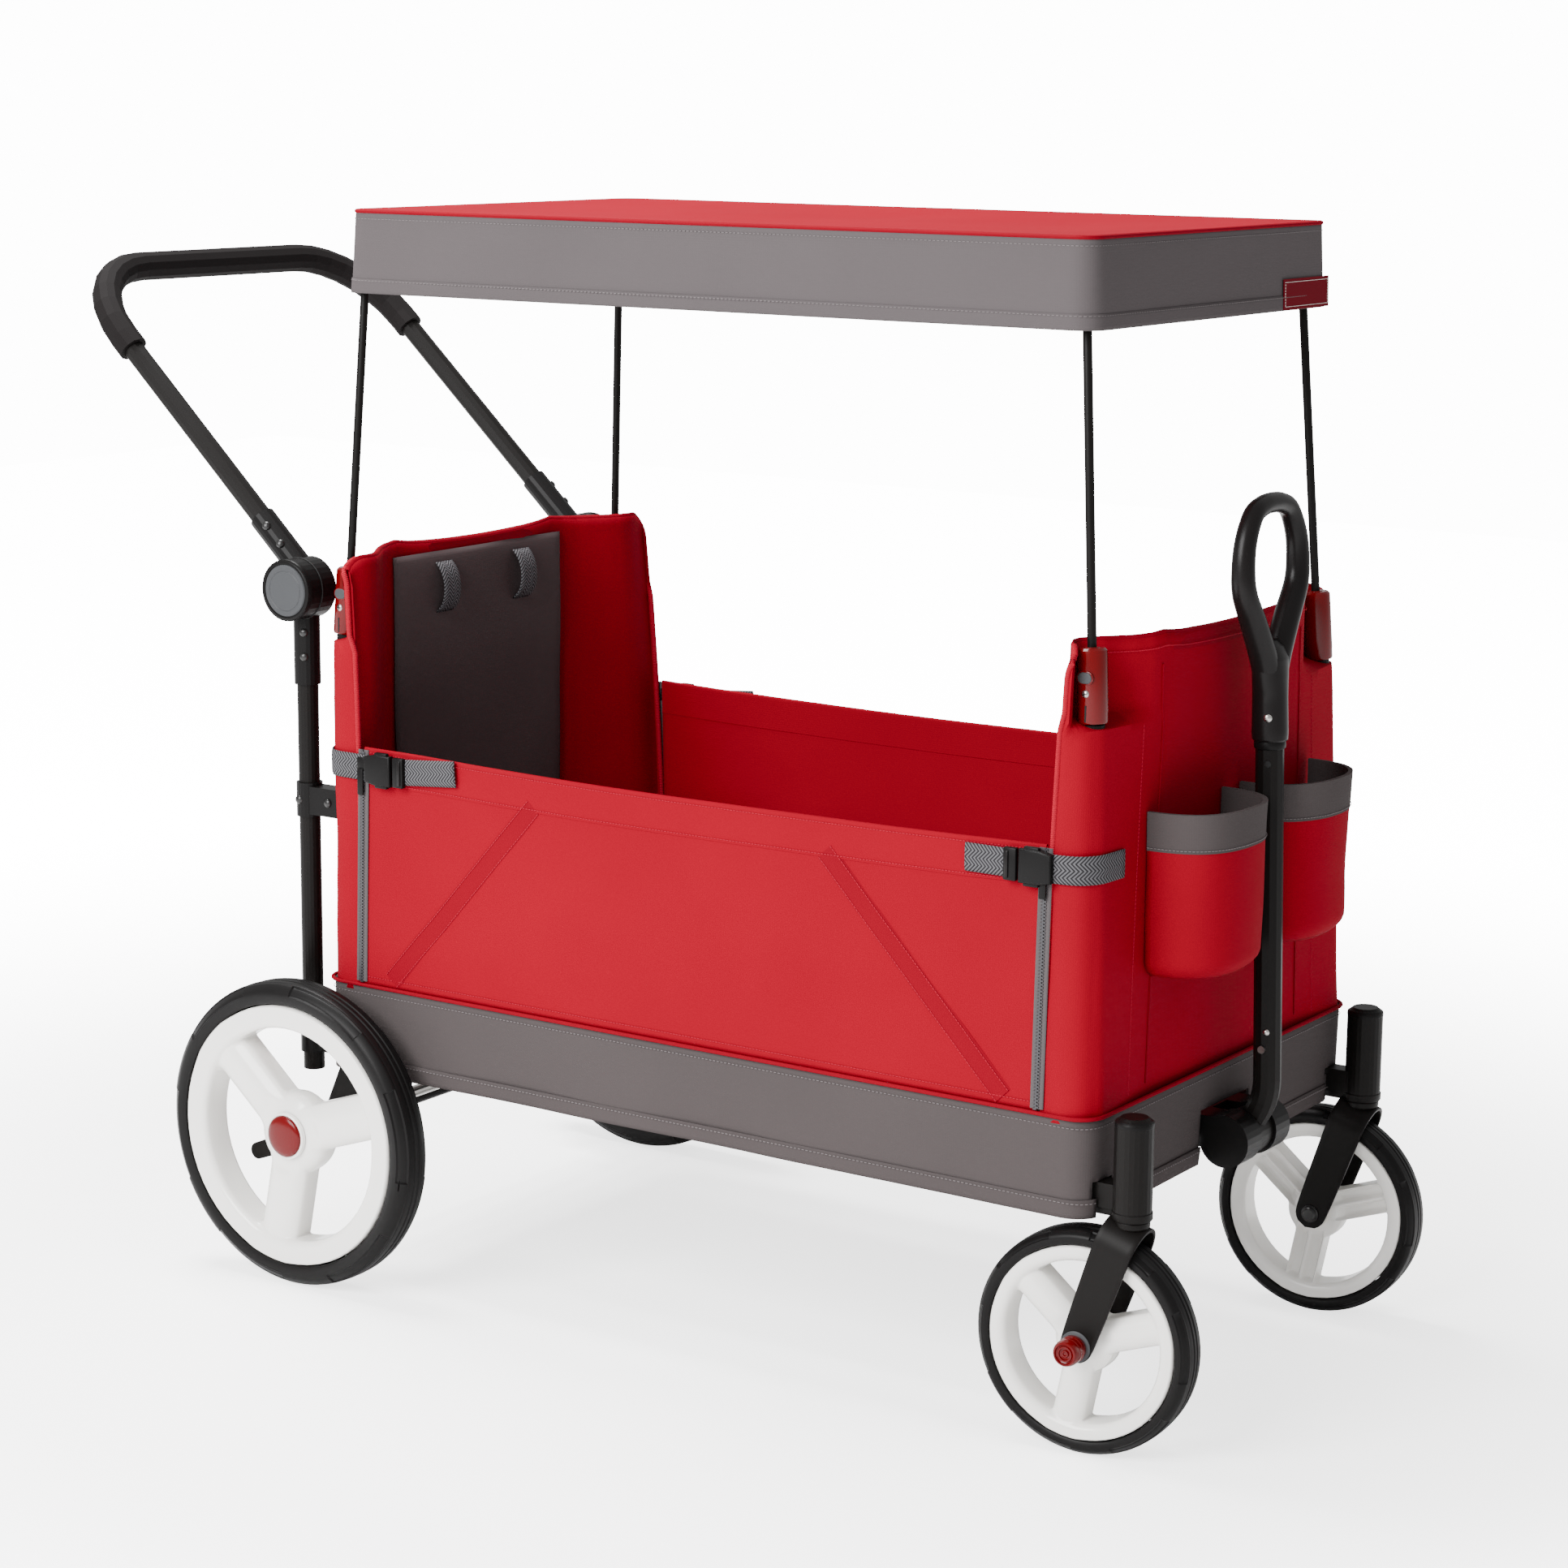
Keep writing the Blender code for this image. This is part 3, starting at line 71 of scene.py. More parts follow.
def gather(shapes):
    whole = bmesh.new()
    for shape in shapes:
        mesh = bpy.data.meshes.new("part")
        shape.to_mesh(mesh)
        shape.free()
        whole.from_mesh(mesh)
        bpy.data.meshes.remove(mesh)
    return whole


def piece(name, shape, look, body, replaced=(), angle=40, turnOut=True):
    bmesh.ops.remove_doubles(shape, verts=shape.verts, dist=2e-6)
    if turnOut:
        bmesh.ops.recalc_face_normals(shape, faces=shape.faces)
    mesh = bpy.data.meshes.new(name)
    shape.to_mesh(mesh)
    shape.free()
    mesh.shade_smooth()
    mesh.set_sharp_from_angle(angle=radians(angle))
    mesh.materials.append(looks[look])
    item = bpy.data.objects.new(name, mesh)
    bpy.context.scene.collection.objects.link(item)
    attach(item, body)
    if replaced:
        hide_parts(*replaced)
    return item


def addModifier(item, kind, **settings):
    modifier = item.modifiers.new(kind.lower(), kind)
    for name, value in settings.items():
        setattr(modifier, name, value)
    return item


def subdivided(item, levels=1):
    return addModifier(item, "SUBSURF", levels=levels, render_levels=levels)


def thickened(item, thickness):
    return addModifier(item, "SOLIDIFY", thickness=thickness, offset=0.0, use_rim=True)


def baked(item):
    # the modifiers become mesh
    graph = bpy.context.evaluated_depsgraph_get()
    mesh = bpy.data.meshes.new_from_object(item.evaluated_get(graph))
    item.modifiers.clear()
    item.data = mesh
    return item


def clothPiece(name, shape, look, body, thickness, replaced=()):
    # an open sheet of cloth with its thickness; its faces keep the side that they were laid on
    return thickened(piece(name, shape, look, body, replaced, angle=60, turnOut=False), thickness)


def spread(first, last, steps):
    return [first + (last - first) * i / steps for i in range(steps + 1)]


def gridShape(columns, rows, place, size=(1.0, 1.0)):
    # a grid laid by place(u, v), with its UVs in metres of cloth
    shape = bmesh.new()
    bmesh.ops.create_grid(shape, x_segments=columns, y_segments=rows, size=0.5)
    uvLayer = shape.loops.layers.uv.verify()
    for face in shape.faces:
        for loop in face.loops:
            loop[uvLayer].uv = ((loop.vert.co.x + 0.5) * size[0], (loop.vert.co.y + 0.5) * size[1])
    for vert in shape.verts:
        vert.co = place(vert.co.x + 0.5, vert.co.y + 0.5)
    return shape


def axes(x, y, z, point):
    # the matrix that turns X, Y and Z to x, y and z, and moves the origin to point
    return Matrix(((x[0], y[0], z[0], point[0]), (x[1], y[1], z[1], point[1]),
                   (x[2], y[2], z[2], point[2]), (0, 0, 0, 1)))


def lathe(profile, centre, sign=1, steps=48, axis="Y"):
    # a profile of (radius, outward) points spun about an axis along Y or Z through centre
    shape = bmesh.new()
    verts = [shape.verts.new((r, sign * h, 0) if axis == "Y" else (r, 0, sign * h)) for r, h in profile]
    edges = [shape.edges.new(pair) for pair in zip(verts, verts[1:])]
    line = (0, 1, 0) if axis == "Y" else (0, 0, 1)
    bmesh.ops.spin(shape, geom=verts + edges, cent=(0, 0, 0), axis=line, angle=2 * pi, steps=steps,
                   use_merge=True)
    bmesh.ops.remove_doubles(shape, verts=shape.verts, dist=1e-6)
    bmesh.ops.recalc_face_normals(shape, faces=shape.faces)
    return shifted(shape, Matrix.Translation(centre))


def softened(profile, radius, steps=3):
    # rounds the inner corners of an open profile
    points = [Vector(p) for p in profile]
    line = [points[0]]
    for before, corner, after in zip(points, points[1:], points[2:]):
        reach = min(radius, (before - corner).length * 0.45, (after - corner).length * 0.45)
        start = corner + (before - corner).normalized() * reach
        stop = corner + (after - corner).normalized() * reach
        for i in range(steps + 1):
            t = i / steps
            line.append((1 - t) ** 2 * start + 2 * t * (1 - t) * corner + t * t * stop)
    line.append(points[-1])
    return [tuple(p) for p in line]


def smoothLine(points, steps=8):
    # a rounded line through the points
    points = [Vector(p) for p in points]
    knots = [points[0] * 2 - points[1]] + points + [points[-1] * 2 - points[-2]]
    line = []
    for a, b, c, d in zip(knots, knots[1:], knots[2:], knots[3:]):
        for i in range(steps):
            t = i / steps
            line.append(0.5 * (2 * b + (c - a) * t + (2 * a - 5 * b + 4 * c - d) * t * t
                               + (3 * b - a - 3 * c + d) * t ** 3))
    line.append(points[-1])
    return line


def atShare(line, share):
    # (point, direction) at a share of a line's length
    runs = [(b - a).length for a, b in zip(line, line[1:])]
    left = share * sum(runs)
    for i, run in enumerate(runs):
        if left <= run or i == len(runs) - 1:
            t = left / max(run, 1e-9)
            return line[i].lerp(line[i + 1], t), (line[i + 1] - line[i]).normalized()
        left -= run


def lineLength(line):
    return sum((b - a).length for a, b in zip(line, line[1:]))


def evenly(line, count):
    return [atShare(line, i / (count - 1))[0] for i in range(count)]


def tubeShape(line, radiusAt, upright, around):
    # a round bar along a line, capped; radiusAt(share) is its radius at a share of the line
    shape = bmesh.new()
    rings = []
    for i, point in enumerate(line):
        ahead = (line[min(i + 1, len(line) - 1)] - line[max(i - 1, 0)]).normalized()
        side = ahead.cross(upright)
        side = side.normalized() if side.length > 1e-4 else Vector((1, 0, 0))
        up = side.cross(ahead)
        made = bmesh.ops.create_circle(
            shape, segments=around, radius=radiusAt(i / (len(line) - 1)), matrix=axes(side, up, ahead, point))
        rings.append(made["verts"])
    for low, high in zip(rings, rings[1:]):
        loops = {e for v in low + high for e in v.link_edges if len(e.link_faces) < 2}
        near = [e for e in loops if all(v in low or v in high for v in e.verts)
                and (e.verts[0] in low) == (e.verts[1] in low)]
        bmesh.ops.bridge_loops(shape, edges=near)
    for ring in (rings[0], rings[-1]):
        bmesh.ops.contextual_create(shape, geom=ring)
    return shape


def bevelled(shape, edges, width, segments):
    bmesh.ops.bevel(shape, geom=edges, offset=width, affect="EDGES", segments=segments, profile=0.5,
                    material=-1)
    return shape


def levelEdges(shape):
    return [e for e in shape.edges if abs(e.verts[0].co.z - e.verts[1].co.z) < 1e-6]


def rodShape(start, stop, radius, around, bevel):
    run = stop - start
    shape = bmesh.new()
    bmesh.ops.create_cone(
        shape, cap_ends=True, segments=around, radius1=radius, radius2=radius, depth=run.length)
    bevelled(shape, levelEdges(shape), bevel, 2)
    turn = Vector((0, 0, 1)).rotation_difference(run).to_matrix().to_4x4()
    return shifted(shape, Matrix.Translation((start + stop) / 2) @ turn)


def softBox(size, centre, bevel, segments=2):
    shape = bmesh.new()
    bmesh.ops.create_cube(shape, size=1)
    bmesh.ops.scale(shape, vec=size, verts=shape.verts)
    return shifted(bevelled(shape, shape.edges[:], bevel, segments), Matrix.Translation(centre))


def plateShape(outline, thickness, matrix, bevel=0.0, segments=3):
    # a flat outline in XY made thickness tall, with its rims rounded, then moved by matrix
    shape = bmesh.new()
    face = shape.faces.new([shape.verts.new((x, y, 0)) for x, y in outline])
    made = bmesh.ops.extrude_face_region(shape, geom=[face], use_keep_orig=True)
    top = [v for v in made["geom"] if isinstance(v, bmesh.types.BMVert)]
    bmesh.ops.translate(shape, vec=(0, 0, thickness), verts=top)
    if bevel:
        bevelled(shape, levelEdges(shape), bevel, segments)
    bmesh.ops.recalc_face_normals(shape, faces=shape.faces)
    return shifted(shape, matrix)


def pillOutline(width, height, steps=8):
    straight, r = (width - height) / 2, height / 2
    right = [(straight + r * cos(t), r * sin(t)) for t in (pi * i / steps - pi / 2 for i in range(steps + 1))]
    return right + [(-x, -y) for x, y in right]


def facing(point, normal):
    # a matrix whose Z looks along normal, at point
    z = Vector(normal).normalized()
    x = Vector((0, 0, 1)).cross(z)
    x = x.normalized() if x.length > 1e-4 else Vector((1, 0, 0))
    return axes(x, z.cross(x), z, point)


def screwHead(point, normal, radius):
    # a domed screw or rivet head; a dark one also stands for an empty hole, as painted shade
    dome = [(0, radius * 0.50), (radius * 0.55, radius * 0.42), (radius * 0.9, radius * 0.2), (radius, 0)]
    return shifted(lathe(dome, (0, 0, 0), steps=18, axis="Z"), facing(point, normal))


def crossSlot(point, normal, radius):
    # the cross slot in a screw head, drawn as dark bars: painted shade in the slot
    long, wide, deep = radius * 1.1, radius * 0.24, radius * 0.4
    bars = [softBox(size, (0, 0, radius * 0.36), radius * 0.05, 1)
            for size in ((long, wide, deep), (wide, long, deep))]
    return shifted(gather(bars), facing(point, normal))


def stitchShape(line, normal, pitch=0.0034, length=0.0024, width=0.0006):
    # a row of thread stitches along a line; normal(point) looks away from the cloth
    total = lineLength(line)
    count = max(int(total / pitch), 2)
    shape = bmesh.new()
    for i in range(count):
        point, ahead = atShare(line, (i + 0.5) / count)
        out = Vector(normal(point)).normalized()
        side = ahead.cross(out).normalized()
        bmesh.ops.create_cube(shape, size=1, matrix=axes(ahead * length, side * width, out * width, point))
    return shape


# materials
def toLinear(hexColour):
    parts = [int(hexColour[i:i + 2], 16) / 255 for i in (1, 3, 5)]
    return tuple(c / 12.92 if c <= 0.04045 else ((c + 0.055) / 1.055) ** 2.4 for c in parts) + (1.0,)


def addNode(tree, kind, settings=None, links=None):
    node = tree.nodes.new(kind)
    for name, value in (settings or {}).items():
        if isinstance(name, int) or name in node.inputs:
            node.inputs[name].default_value = value
        else:
            setattr(node, name, value)
    for name, source in (links or {}).items():
        tree.links.new(source, node.inputs[name])
    return node


def newLook(name, hexColour, roughness, **sockets):
    look = bpy.data.materials.new(name)
    look.use_nodes = True
    tree = look.node_tree
    shader = tree.nodes["Principled BSDF"]
    shader.inputs["Base Color"].default_value = toLinear(hexColour)
    shader.inputs["Roughness"].default_value = roughness
    for socket, value in sockets.items():
        shader.inputs[socket.replace("_", " ")].default_value = value
    return look, tree, shader


def mottled(tree, shader, light, dark, scale):
    # slow colour change between two shades, scale is per metre
    place = addNode(tree, "ShaderNodeTexCoord")
    cloud = addNode(tree, "ShaderNodeTexNoise", {"Scale": scale, "Detail": 3.0, "Roughness": 0.6},
                    {"Vector": place.outputs["Object"]})
    shaded(tree, shader, light, dark, cloud.outputs["Fac"])
    return place, cloud


def shaded(tree, shader, light, dark, share):
    shade = addNode(tree, "ShaderNodeMix", {"data_type": "RGBA", 6: toLinear(dark), 7: toLinear(light)},
                    {0: share})
    tree.links.new(shade.outputs[2], shader.inputs["Base Color"])


def embossed(tree, shader, height, strength, distance):
    relief = addNode(tree, "ShaderNodeBump", {"Strength": strength, "Distance": distance}, {"Height": height})
    tree.links.new(relief.outputs[0], shader.inputs["Normal"])


def mathNode(tree, operation, links, settings=None):
    return addNode(tree, "ShaderNodeMath", {"operation": operation, **(settings or {})}, links).outputs[0]


def wovenLook(name, light, dark, threadMm, bump, roughness):
    # plain weave: over and under threads as two crossed waves; dull yarn, so hardly any gloss
    look, tree, shader = newLook(name, light, roughness, Specular_IOR_Level=0.04)
    place, cloud = mottled(tree, shader, light, dark, 5.0)
    wavesPerUnit = 3.18      # of a wave texture at scale 1
    pitch = 1000 / threadMm / 2 / wavesPerUnit
    warp, weft = [addNode(tree, "ShaderNodeTexWave", {"bands_direction": way, "Scale": pitch,
                                                      "Distortion": 0.4,
                                                      "Detail Scale": 2.0}, {"Vector": place.outputs["UV"]})
                  for way in "XY"]
    both = mathNode(tree, "MULTIPLY", {0: warp.outputs["Fac"], 1: weft.outputs["Fac"]})
    soft = addNode(tree, "ShaderNodeTexNoise", {"Scale": 60.0, "Detail": 2.0},
                   {"Vector": place.outputs["Object"]})
    height = mathNode(tree, "MULTIPLY_ADD", {0: soft.outputs["Fac"], 2: both}, {1: 1.5})
    embossed(tree, shader, height, bump, 0.0006)
    return look


def webbingLook(name, light, dark):
    # herringbone webbing: chevrons 6.3 mm wide of 3.6 mm ridges, read along the strap's own UVs
    look, tree, shader = newLook(name, light, 0.75, Specular_IOR_Level=0.1)
    place = addNode(tree, "ShaderNodeTexCoord")
    split = addNode(tree, "ShaderNodeSeparateXYZ", {}, {0: place.outputs["UV"]})
    zig = mathNode(tree, "PINGPONG", {0: split.outputs["Y"]}, {1: 0.0063})
    slant = mathNode(tree, "ADD", {0: split.outputs["X"], 1: zig})
    turns = mathNode(tree, "MULTIPLY", {0: slant}, {1: 2 * pi / 0.0036})
    ridge = mathNode(tree, "SINE", {0: turns})
    share = addNode(tree, "ShaderNodeMapRange", {"From Min": -1.0, "From Max": 1.0}, {0: ridge}).outputs[0]
    shaded(tree, shader, light, dark, share)
    embossed(tree, shader, share, 0.6, 0.0006)
    return look


def ribbedLook(name, light, dark, ribMm):
    # binding tape with cross ribs, read along its UVs
    look, tree, shader = newLook(name, light, 0.7, Specular_IOR_Level=0.08)
    place, cloud = mottled(tree, shader, light, dark, 40.0)
    ribs = addNode(tree, "ShaderNodeTexWave", {"bands_direction": "X", "Scale": 314 / ribMm},
                   {"Vector": place.outputs["UV"]})
    embossed(tree, shader, ribs.outputs["Fac"], 0.7, 0.0008)
    return look


def grainedLook(name, light, dark, roughness, grainMm, bump, **sockets):
    # moulded, coated or foamed surface: fine grain in the bump, slight change in shade and gloss
    look, tree, shader = newLook(name, light, roughness, **sockets)
    place, cloud = mottled(tree, shader, light, dark, 12.0)
    grain = addNode(tree, "ShaderNodeTexNoise", {"Scale": 1000 / grainMm, "Detail": 2.0},
                    {"Vector": place.outputs["Object"]})
    embossed(tree, shader, grain.outputs["Fac"], bump, 0.0001)
    gloss = addNode(tree, "ShaderNodeMapRange", {"To Min": roughness * 0.9, "To Max": roughness * 1.15},
                    {0: cloud.outputs["Fac"]})
    tree.links.new(gloss.outputs[0], shader.inputs["Roughness"])
    return look


looks = {
    # polyester: dull woven cloth
    "redCloth": wovenLook("red_polyester_weave", "#850219", "#790116", 1.1, 0.14, 0.8),
    "redLining": wovenLook("red_polyester_lining", "#7e0218", "#730115", 1.1, 0.14, 0.82),
    "grayCloth": wovenLook("gray_polyester_weave", "#453f3f", "#3f3a3a", 1.1, 0.14, 0.82),
    "padCloth": wovenLook("gray_pad_cloth", "#4a4041", "#433a3b", 1.1, 0.14, 0.82),
    "matCloth": wovenLook("floor_mat_cloth", "#332f30", "#2c2829", 1.4, 0.2, 0.85),
    "netCloth": wovenLook("red_mesh_net", "#6c0410", "#3c0208", 2.6, 0.8, 0.75),
    "binding": ribbedLook("red_ribbed_binding", "#9e0c24", "#8b081f", 1.8),
    "hemBinding": wovenLook("red_hem_tape", "#7a0217", "#6e0114", 0.9, 0.2, 0.78),
    "webbing": webbingLook("gray_herringbone_webbing", "#5c5b5e", "#131214"),
    "canopyCloth": wovenLook("gray_canopy_cloth", "#4f4a4b", "#494445", 1.1, 0.14, 0.82),
    # acetal teeth: hard, dull and dark
    "zipTeeth": grainedLook("acetal_zip_teeth", "#2c2a2e", "#242226", 0.4, 1.0, 0.1),
    "redThread": newLook("red_polyester_thread", "#941027", 0.7, Specular_IOR_Level=0.1)[0],
    "grayThread": newLook("gray_polyester_thread", "#635d5e", 0.7, Specular_IOR_Level=0.1)[0],
    # powder coat on steel tube: satin black with the slight orange peel of baked powder
    "powderCoat": grainedLook("black_powder_coat", "#100e0d", "#0d0b0a", 0.42, 2.5, 0.03,
                              Specular_IOR_Level=0.10),
    # moulded ABS and nylon, spark-eroded grain
    "blackPlastic": grainedLook("black_moulded_nylon", "#0f0e0e", "#0c0b0b", 0.38, 1.5, 0.04,
                                Specular_IOR_Level=0.10),
    "softBlack": grainedLook("black_overmoulded_grip", "#131010", "#0f0d0d", 0.3, 2.0, 0.03,
                             Specular_IOR_Level=0.14),
    "redPlastic": grainedLook("red_moulded_abs", "#5a0104", "#520103", 0.18, 4.0, 0.01,
                              Specular_IOR_Level=0.22),
    "grayPlastic": grainedLook("gray_moulded_abs", "#3f4042", "#393a3c", 0.42, 1.0, 0.06,
                               Specular_IOR_Level=0.12),
    # polypropylene wheel: white and glossy, from its coat
    "whitePlastic": grainedLook("white_moulded_polypropylene", "#eeece8", "#e8e6e1", 0.22, 6.0, 0.015,
                                Coat_Weight=0.3),
    # a darker, duller copy of the white wheel plastic: painted shade, for the back of the front wheels' hubs,
    # which faces the wagon
    "paintedShadeWhitePlastic": grainedLook("white_polypropylene_painted_shade", "#dedad2", "#d5d1c8", 0.34, 3.0, 0.03),
    # moulded EVA tyre and EVA foam
    "tyreRubber": grainedLook("black_eva_tyre", "#0f0e0e", "#0c0b0b", 0.4, 2.0, 0.04,
                              Specular_IOR_Level=0.11),
    "foamRubber": grainedLook("black_eva_foam_grip", "#171414", "#131111", 0.7, 1.2, 0.12,
                              Specular_IOR_Level=0.06),
    "zincSteel": grainedLook("zinc_plated_steel", "#b9b7b3", "#a5a39f", 0.28, 2.0, 0.05, Metallic=1.0),
    "darkScrew": grainedLook("blackened_steel_screw", "#161515", "#121111", 0.3, 1.5, 0.05,
                             Specular_IOR_Level=0.4),
    # near black and matte: painted shade, laid in recesses, slits, seams and holes
    "paintedRecessShade": newLook("unlit_recess", "#050505", 0.9)[0],
    "labelCloth": wovenLook("red_label_satin", "#5e0212", "#540110", 0.7, 0.1, 0.6),
    "labelThread": newLook("pale_label_thread", "#b9b0ab", 0.6)[0],
}
print("materials ready")


# wheels
wheelSizes = {
    "rear": {"rim": 0.1312, "window": (0.041, 0.1075), "hub": 0.034, "bore": 0.012, "spoke": 0.023,
             "face": 0.0198, "crown": 0.0165, "drop": 0.0105, "back": 0.0165},
    "front": {"rim": 0.0880, "window": (0.029, 0.0735), "hub": 0.022, "bore": 0.006, "spoke": 0.0150,
              "face": 0.0178, "crown": 0.0150, "drop": 0.0075, "back": 0.0160},
}
spokePhase = 19.0        # degrees above +X
spokeCount = 3


def wheelShape(size, centre, sign, turn=0.0):
    # plate of three crowned spokes in a ring; the inner side is open between ribs
    low, high = size["window"]
    rings = [size["bore"], size["hub"] * 0.6, size["hub"], low, low + 0.003, low + (high - low) * 0.3,
             low + (high - low) * 0.6, high - 0.006, high - 0.002, high, high + 0.0012, high + 0.004,
             high + 0.008,
             size["rim"] - 0.007, size["rim"] - 0.0008, size["rim"]]
    across = [-1, -0.93, -0.8, -0.55, -0.25, -0.08, 0.08, 0.25, 0.55, 0.8, 0.93, 1]
    windowCuts = 8
    perThird = len(across) - 1 + windowCuts
    columns = perThird * spokeCount
    half = size["spoke"]

    def column(i):
        third, k = divmod(i % columns, perThird)
        base = radians(spokePhase) + third * 2 * pi / spokeCount
        if k < len(across):
            return base, across[k], 0.0
        return base, 1.0, (k - len(across) + 1) / windowCuts

    def angleAt(i, r):
        base, k, between = column(i)
        reach = min(asin(min(half / r, 1.0)), radians(53))
        lean = k * reach if abs(k * half / r) >= 0.8 or r < half * 1.3 else asin(k * half / r)
        return base + lean + between * (2 * pi / spokeCount - 2 * reach)

    def heights(i, j):
        k, between = column(i)[1:]
        r = rings[j]
        rimShare = min(max((r - high) / 0.005, 0), 1)
        ringFace = size["face"] - 0.0055 * (1 - rimShare) ** 2
        if r > size["rim"] - 0.0004:
            ringFace -= 0.0012
        edge = abs(k) if not between else 1.0
        spokeFace = size["crown"] - size["drop"] * edge ** 3.2
        endShare = min(max((r - high + 0.004) / 0.014, 0), 1)
        spokeFace = spokeFace * sqrt(max(1 - endShare ** 3, 0)) if r > high - 0.004 else spokeFace
        front = ringFace if between and r >= high else max(spokeFace, ringFace) if r >= high else spokeFace
        if r <= low and (between or r <= size["hub"]):
            front = size["crown"] - size["drop"] * (0 if r < size["hub"] else 1.0 if r >= low else 0.35)
        inner = size["back"] - 0.003 * (1 - rimShare)
        if high > r > size["hub"] and abs(k) < 0.9 and not between:
            inner = 0.004 if abs(k) > 0.1 else size["back"] * 0.75
        return front, -inner

    shape = bmesh.new()
    layer = shape.verts.layers.float_vector.new("inside")
    bmesh.ops.create_grid(shape, x_segments=columns, y_segments=len(rings) - 1, size=0.5)
    spots = {v: (round((v.co.x + 0.5) * columns), round((v.co.y + 0.5) * (len(rings) - 1)))
             for v in shape.verts}
    gaps = []
    lowRing, highRing = rings.index(low), rings.index(high)
    for face in shape.faces:
        i = min(spots[v][0] for v in face.verts)
        j = min(spots[v][1] for v in face.verts)
        if i % perThird >= len(across) - 1 and lowRing <= j < highRing:
            gaps.append(face)
    for vert, (i, j) in spots.items():
        t = angleAt(i, rings[j])
        front, back = heights(i, j)
        vert.co = (rings[j] * cos(t), sign * front, rings[j] * sin(t))
        vert[layer] = (rings[j] * cos(t), sign * back, rings[j] * sin(t))
    bmesh.ops.delete(shape, geom=gaps, context="FACES")
    bmesh.ops.remove_doubles(shape, verts=shape.verts, dist=1e-6)
    made = bmesh.ops.extrude_face_region(shape, geom=shape.faces[:], use_keep_orig=True)
    for vert in made["geom"]:
        if isinstance(vert, bmesh.types.BMVert):
            vert.co = vert[layer]
    shape.verts.layers.float_vector.remove(layer)
    walls = [e for e in shape.edges if abs(e.verts[0].co.y - e.verts[1].co.y) > 0.008
             and (e.verts[0].co.xz - e.verts[1].co.xz).length < 1e-5]
    bmesh.ops.subdivide_edges(shape, edges=walls, cuts=1)
    return shifted(shape, Matrix.Translation(centre) @ Matrix.Rotation(turn, 4, "Z"))


tyreSizes = {
    "rear": {"out": 0.1524, "bead": 0.1311, "half": 0.0200, "steps": 120, "lugs": 6, "dip": 0.0013},
    "front": {"out": 0.1016, "bead": 0.0879, "half": 0.0180, "steps": 96, "lugs": 6, "dip": 0.0010},
}


def tyreShape(size, centre, sign, turn=0.0):
    r, b, h = size["out"], size["bead"], size["half"]
    deep = r - b
    side = [(b, h * 0.80), (b + deep * 0.06, h * 0.93), (b + deep * 0.22, h * 0.995), (b + deep * 0.50, h),
            (b + deep * 0.66, h * 0.95), (b + deep * 0.72, h * 0.90), (b + deep * 0.90, h * 0.74),
            (b + deep * 0.955, h * 0.62), (b + deep * 0.95, h * 0.56), (r - 0.0004, h * 0.50),
            (r - 0.0001, h * 0.25),
            (r - 0.0011, h * 0.20), (r - 0.0011, h * 0.14), (r, h * 0.08)]
    profile = side + [(x, -y) for x, y in reversed(side)]
    shape = lathe(profile, (0, 0, 0), sign, size["steps"])
    shoulder = []
    for face in shape.faces:
        c = face.calc_center_median()
        reach = hypot(c.x, c.z)
        lug = (atan2(c.z, c.x) / (2 * pi) * size["lugs"] * 2 + 0.35) % 2
        if lug < 1.25 and b + deep * 0.52 < reach < b + deep * 0.93:
            shoulder.append(face)
    bmesh.ops.inset_region(shape, faces=shoulder, thickness=0.0016, depth=-size["dip"])
    return shifted(shape, Matrix.Translation(centre) @ Matrix.Rotation(turn, 4, "Z"))


hubCap = {"radius": 0.0205, "height": 0.0043, "sunk": 0.004}

for side, sign in sides.items():
    centre = middleOf(f"rear_tyre_{side}")
    wheel = piece(f"rear_wheel_{side}_shell", wheelShape(wheelSizes["rear"], centre, sign), "whitePlastic",
                  f"rear_wheel_{side}", [f"rear_wheel_{side}"], angle=50)
    subdivided(wheel)
    piece(f"rear_tyre_{side}_moulded", tyreShape(tyreSizes["rear"], centre, sign), "tyreRubber",
          f"rear_wheel_{side}", [f"rear_tyre_{side}"], angle=32)
    low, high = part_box(f"hub_cap_{side}")
    seat = low.y if sign > 0 else high.y
    r, h, sunk = hubCap["radius"], hubCap["height"], hubCap["sunk"]
    dome = [(0, h), (r * 0.4, h * 0.95), (r * 0.75, h * 0.76), (r * 0.93, h * 0.5), (r, h * 0.2), (r, -sunk)]
    piece(f"hub_cap_{side}_dome", lathe(dome, (centre.x, seat, centre.z), sign), "redPlastic",
          f"rear_wheel_{side}", [f"hub_cap_{side}"], angle=60)
    groove = [(r + 0.0002, -sunk), (r + 0.0002, -0.0002), (r + 0.0012, 0.0003), (r + 0.0026, -0.0004),
              (r + 0.003, -sunk)]
    piece(f"hub_seat_{side}", lathe(groove, (centre.x, seat, centre.z), sign), "whitePlastic",
          f"rear_wheel_{side}")
print("rear wheels made")


# casters
casterSizes = {"trail": 0.0385, "turn": radians(4.5), "gap": 0.0224, "wall": 0.0035, "top": 0.036,
               "foot": 0.0150,
               "knob": 0.0120, "knobLength": 0.0220, "bolt": 0.0085}


